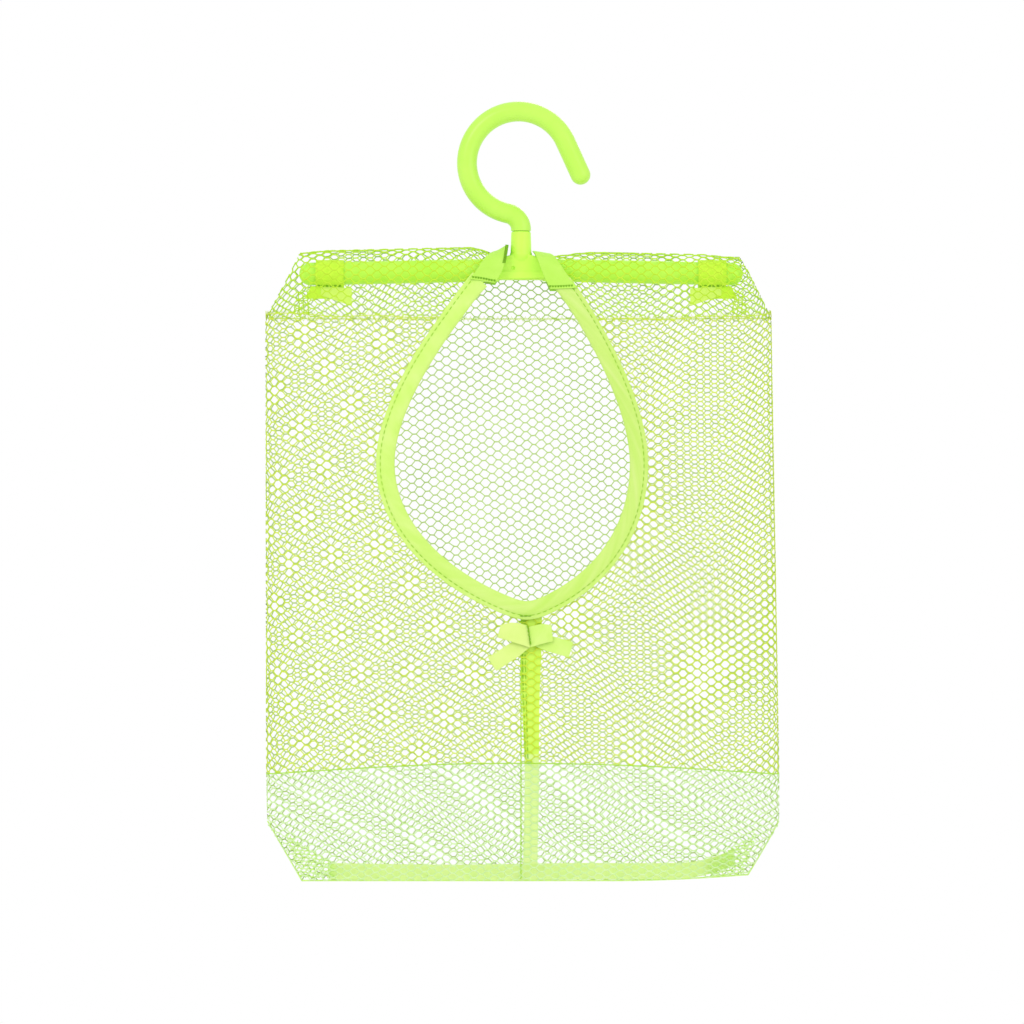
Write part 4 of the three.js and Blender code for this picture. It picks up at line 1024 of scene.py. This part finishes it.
def overlock(path, normal, width, pitch, radius):
    """A zigzag of yarn over a seam with a straight thread down its middle."""
    path = spaced(path, pitch / 2)
    side = unit(np.cross(unit(np.gradient(path, axis=0)), normal))
    swing = np.where(np.arange(len(path)) % 2 == 0, 1.0, -1.0)[:, None] * width / 2
    return [tube_parts(path + side * swing, radius, 5, normal), tube_parts(path, radius * 1.15, 5, normal)]


def across_bag(side, z):
    """A line across the front or back at a height, closer set towards the edges."""
    x = float(section(z)[0]) * np.sin(np.linspace(-math.pi / 2, math.pi / 2, SEAM_POINTS))
    return drape(points_at(x, net_y(side, x, z), z), side)


parts = overlock(across_bag(1, SHOULDER_Z), BACK_WAY, width=2.4, pitch=2.3, radius=0.22)
line = spaced(across_bag(-1, SHOULDER_Z), 1.0)
end = np.minimum(1, np.abs(line[:, 0]) / SHOULDER_HALF) ** 3
line[:, 2] += 2.2 * end - np.where(line[:, 0] > 0, 1.4 * (1 - end), 0) + 0.5 * np.sin(line[:, 0] / 6.5)
outside = ~within(line[:, 0], line[:, 2], np.concatenate([mouth_line, [(60, 0), (-60, 0)]]))
for half in (line[outside & (line[:, 0] < 0)], line[outside & (line[:, 0] > 0)]):
    parts += overlock(half, FRONT_WAY, width=3.0, pitch=2.1, radius=0.22)
sewn("shoulder_overlock", parts, SHOULDER_YARN)

line = across_bag(-1, HEM_Z)
parts = [tube_parts(line, 0.3, 6, FRONT_WAY)]
parts += stitch_parts(line + FRONT_WAY * 0.3, FRONT_WAY, stitch=2.1, gap=0.8, radius=0.2)
z = np.linspace(BAR_Z - 174, BOTTOM_Z + 1, 100)
parts += overlock(front_at(0, z), FRONT_WAY, width=0.9, pitch=1.9, radius=0.24)
sewn("hem_and_centre_seams", parts, HEM_YARN)

z = np.linspace(BAR_Z - SIDE_DROP, BOTTOM_Z, 30)
half, _, _, _, crease = section(z)
parts = [tube_parts(drape(points_at(sign * half, crease, z), 1), 0.36, 6, FRONT_WAY) for _, sign in HANDS]
x = np.linspace(-BOTTOM_HALF, BOTTOM_HALF, 120)
line = drape(points_at(x, net_y(1, x, BOTTOM_Z) - LAYER, BOTTOM_Z), 1)
parts.append(tube_parts(line, 0.4, 6, FRONT_WAY))
sewn("edge_seams", parts, CORNER_YARN)


# Hook: a round rod on one smooth line, with a rounded tip and a slotted snap pin

HOOK_CREASE, FOOT_CHAMFER = 40, 0.2
turn = np.linspace(ARM_ANGLE, NECK_ANGLE, 150)
crown = np.stack([CROWN_SHIFT + crown_line * np.cos(turn), -CROWN_RADIUS + crown_line * np.sin(turn)], -1)
arm_way = np.array([math.sin(ARM_ANGLE), -math.cos(ARM_ANGLE)])
arm = crown[0] + arm_way * along_grid(20, ARM_LENGTH, 0)
bend = np.linspace(neck_fall + math.pi / 2, 0, 34)
neck = np.array(neck_centre) + neck_radius * np.stack([np.cos(bend), np.sin(bend)], -1)
foot = np.array([[0, HOOK_BASE_Z + 0.1], [0, HOOK_BASE_Z - 0.12]])
dome = np.linspace(0, math.pi / 2, 10)[:-1]
tip = arm[0] + arm_way * (ROD_RADIUS * np.cos(dome))[:, None]
line = np.concatenate([tip, arm[:-1], crown, neck[1:], foot])
radii = np.full(len(line), ROD_RADIUS)
radii[:len(tip)] = np.maximum(0.02, ROD_RADIUS * np.sin(dome))
radii[-1] = ROD_RADIUS - FOOT_CHAMFER
rod = tube_parts(points_at(line[:, 0], 0, line[:, 1]), radii, 48, BACK_WAY)
head_top = SOCKET_TOP_Z - BORE_DEPTH - FACE_CLEARANCE
pin_path = np.array([(0, 0, HOOK_BASE_Z + 0.5), (0, 0, head_top - 0.1)])
pin = tube_parts(pin_path, PIN_RADIUS, 40, BACK_WAY)


def half_head(sign):
    """One side of the slotted snap head: a tapered half disc beside the slot."""
    count = 21
    rings = []
    for share, radius in ((0, HEAD_RADIUS), (0.25, HEAD_RADIUS), (1, PIN_RADIUS * 0.8)):
        edge = math.acos(HEAD_SLOT / 2 / radius)
        turn = np.linspace(-edge, edge, count)
        z = head_top - HEAD_HEIGHT * share
        rings.append(points_at(sign * radius * np.cos(turn), radius * np.sin(turn), z))
    fan = np.arange(1, count - 1)
    caps = [np.stack([np.full(count - 2, i), i + fan, i + fan + 1], -1) for i in (0, 2 * count)]
    return np.concatenate(rings), ring_quads((0, count), count), np.concatenate(caps)


hook = facing_out(make_mesh("hook_rod", *joined([rod, pin, half_head(-1), half_head(1)]), sharp=HOOK_CREASE))
finish_piece(hook, HOOK_PLASTIC, "hook", ["hook"])


# Hanger: the moulded bar as packed, with its round faces shaded smooth

BAR_CREASE, BAR_WELD = 32, 2e-6
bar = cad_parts["hanger_bar"]
hanger = new_object("hanger_moulding", bar.data.copy())
hanger.matrix_world = bar.matrix_world.copy()
bar_mesh = facing_out(hanger, BAR_WELD).data
bar_mesh.shade_smooth()
bar_mesh.set_sharp_from_angle(angle=math.radians(BAR_CREASE))
weighted = hanger.modifiers.new("weighted", "WEIGHTED_NORMAL")
weighted.keep_sharp = True
finish_piece(hanger, LIT_HANGER_PLASTIC, "hanger", ["hanger_bar"])


# Stage: pale floor well below the bag that fades out, white surroundings, plain soft light, and the camera

FLOOR_Z, FLOOR_HALF = -0.95, 1400
corners = FLOOR_HALF * np.array([(-1, -1, 0), (1, -1, 0), (1, 1, 0), (-1, 1, 0)])
floor = make_mesh("stage_floor", corners, [[0, 1, 2, 3]])
floor.location.z = FLOOR_Z
mat, tree, shader = new_material("stage_floor", Base_Color=(0.95, 0.95, 0.95, 1), Roughness=0.9)
place = tree.nodes.new("ShaderNodeTexCoord")
scale = add_node(tree, "ShaderNodeMapping", Scale=(0.72, 0.72, 0.72))
fade = add_node(tree, "ShaderNodeTexGradient", gradient_type="SPHERICAL")
ramp = colour_ramp(tree, 0.05, 0.55)
clear = tree.nodes.new("ShaderNodeBsdfTransparent")
mix = tree.nodes.new("ShaderNodeMixShader")
wire(
    tree,
    (place, "Object", scale, "Vector"),
    (scale, "Vector", fade, "Vector"),
    (fade, "Fac", ramp, "Fac"),
    (ramp, "Color", mix, "Fac"),
    (clear, "BSDF", mix, 1),
    (shader, "BSDF", mix, 2),
    (mix, "Shader", tree.nodes["Material Output"], "Surface"),
)
floor.data.materials.append(mat)

AMBIENT = 0.908
world = bpy.data.worlds.new("studio")
bpy.context.scene.world = world
world.use_nodes = True
tree = world.node_tree
tree.nodes.clear()
rays = tree.nodes.new("ShaderNodeLightPath")
seen, seen_too = (add_node(tree, "ShaderNodeMath", operation="MAXIMUM") for _ in range(2))
ambient = add_node(tree, "ShaderNodeBackground", Color=(1, 1, 1, 1), Strength=AMBIENT)
white = add_node(tree, "ShaderNodeBackground", Color=(1, 1, 1, 1), Strength=1.0)
mix = tree.nodes.new("ShaderNodeMixShader")
out = tree.nodes.new("ShaderNodeOutputWorld")
wire(
    tree,
    (rays, "Is Camera Ray", seen, 0),
    (rays, "Is Glossy Ray", seen, 1),
    (seen, "Value", seen_too, 0),
    (rays, "Is Transmission Ray", seen_too, 1),
    (seen_too, "Value", mix, "Fac"),
    (ambient, "Background", mix, 1),
    (white, "Background", mix, 2),
    (mix, "Shader", out, "Surface"),
)


def soft_lamp(name, place, size, power):
    lamp = bpy.data.lights.new(name, "AREA")
    lamp.shape = "DISK"
    lamp.size = size
    lamp.energy = power
    ob = new_object(name, lamp)
    ob.location = place
    aim = np.array([0, 0, -0.2]) - np.array(place)
    ob.rotation_euler = Vector(aim).to_track_quat("-Z", "Y").to_euler()


soft_lamp("key", (-0.9, -1.5, 0.9), size=0.9, power=8.85)
soft_lamp("fill", (1.2, -1.3, 0.2), size=1.1, power=4.4)
soft_lamp("back", (0.4, 1.6, 0.8), size=1.0, power=4.4)

# The camera's distance, the width of its view and the view's middle, in metres
DISTANCE, FRAME_WIDTH, SENSOR = 2.4, 0.512, 36.0
MIDDLE_X, MIDDLE_Z = -0.0045, -0.19525
camera = bpy.data.cameras.new("camera")
camera.sensor_width = SENSOR
camera.lens = SENSOR * DISTANCE / FRAME_WIDTH
camera.dof.use_dof = False
eye = new_object("camera", camera)
eye.location = (MIDDLE_X, -DISTANCE, MIDDLE_Z)
eye.rotation_euler = (math.pi / 2, 0, 0)
bpy.context.scene.camera = eye
bpy.context.scene.view_settings.view_transform = "Standard"
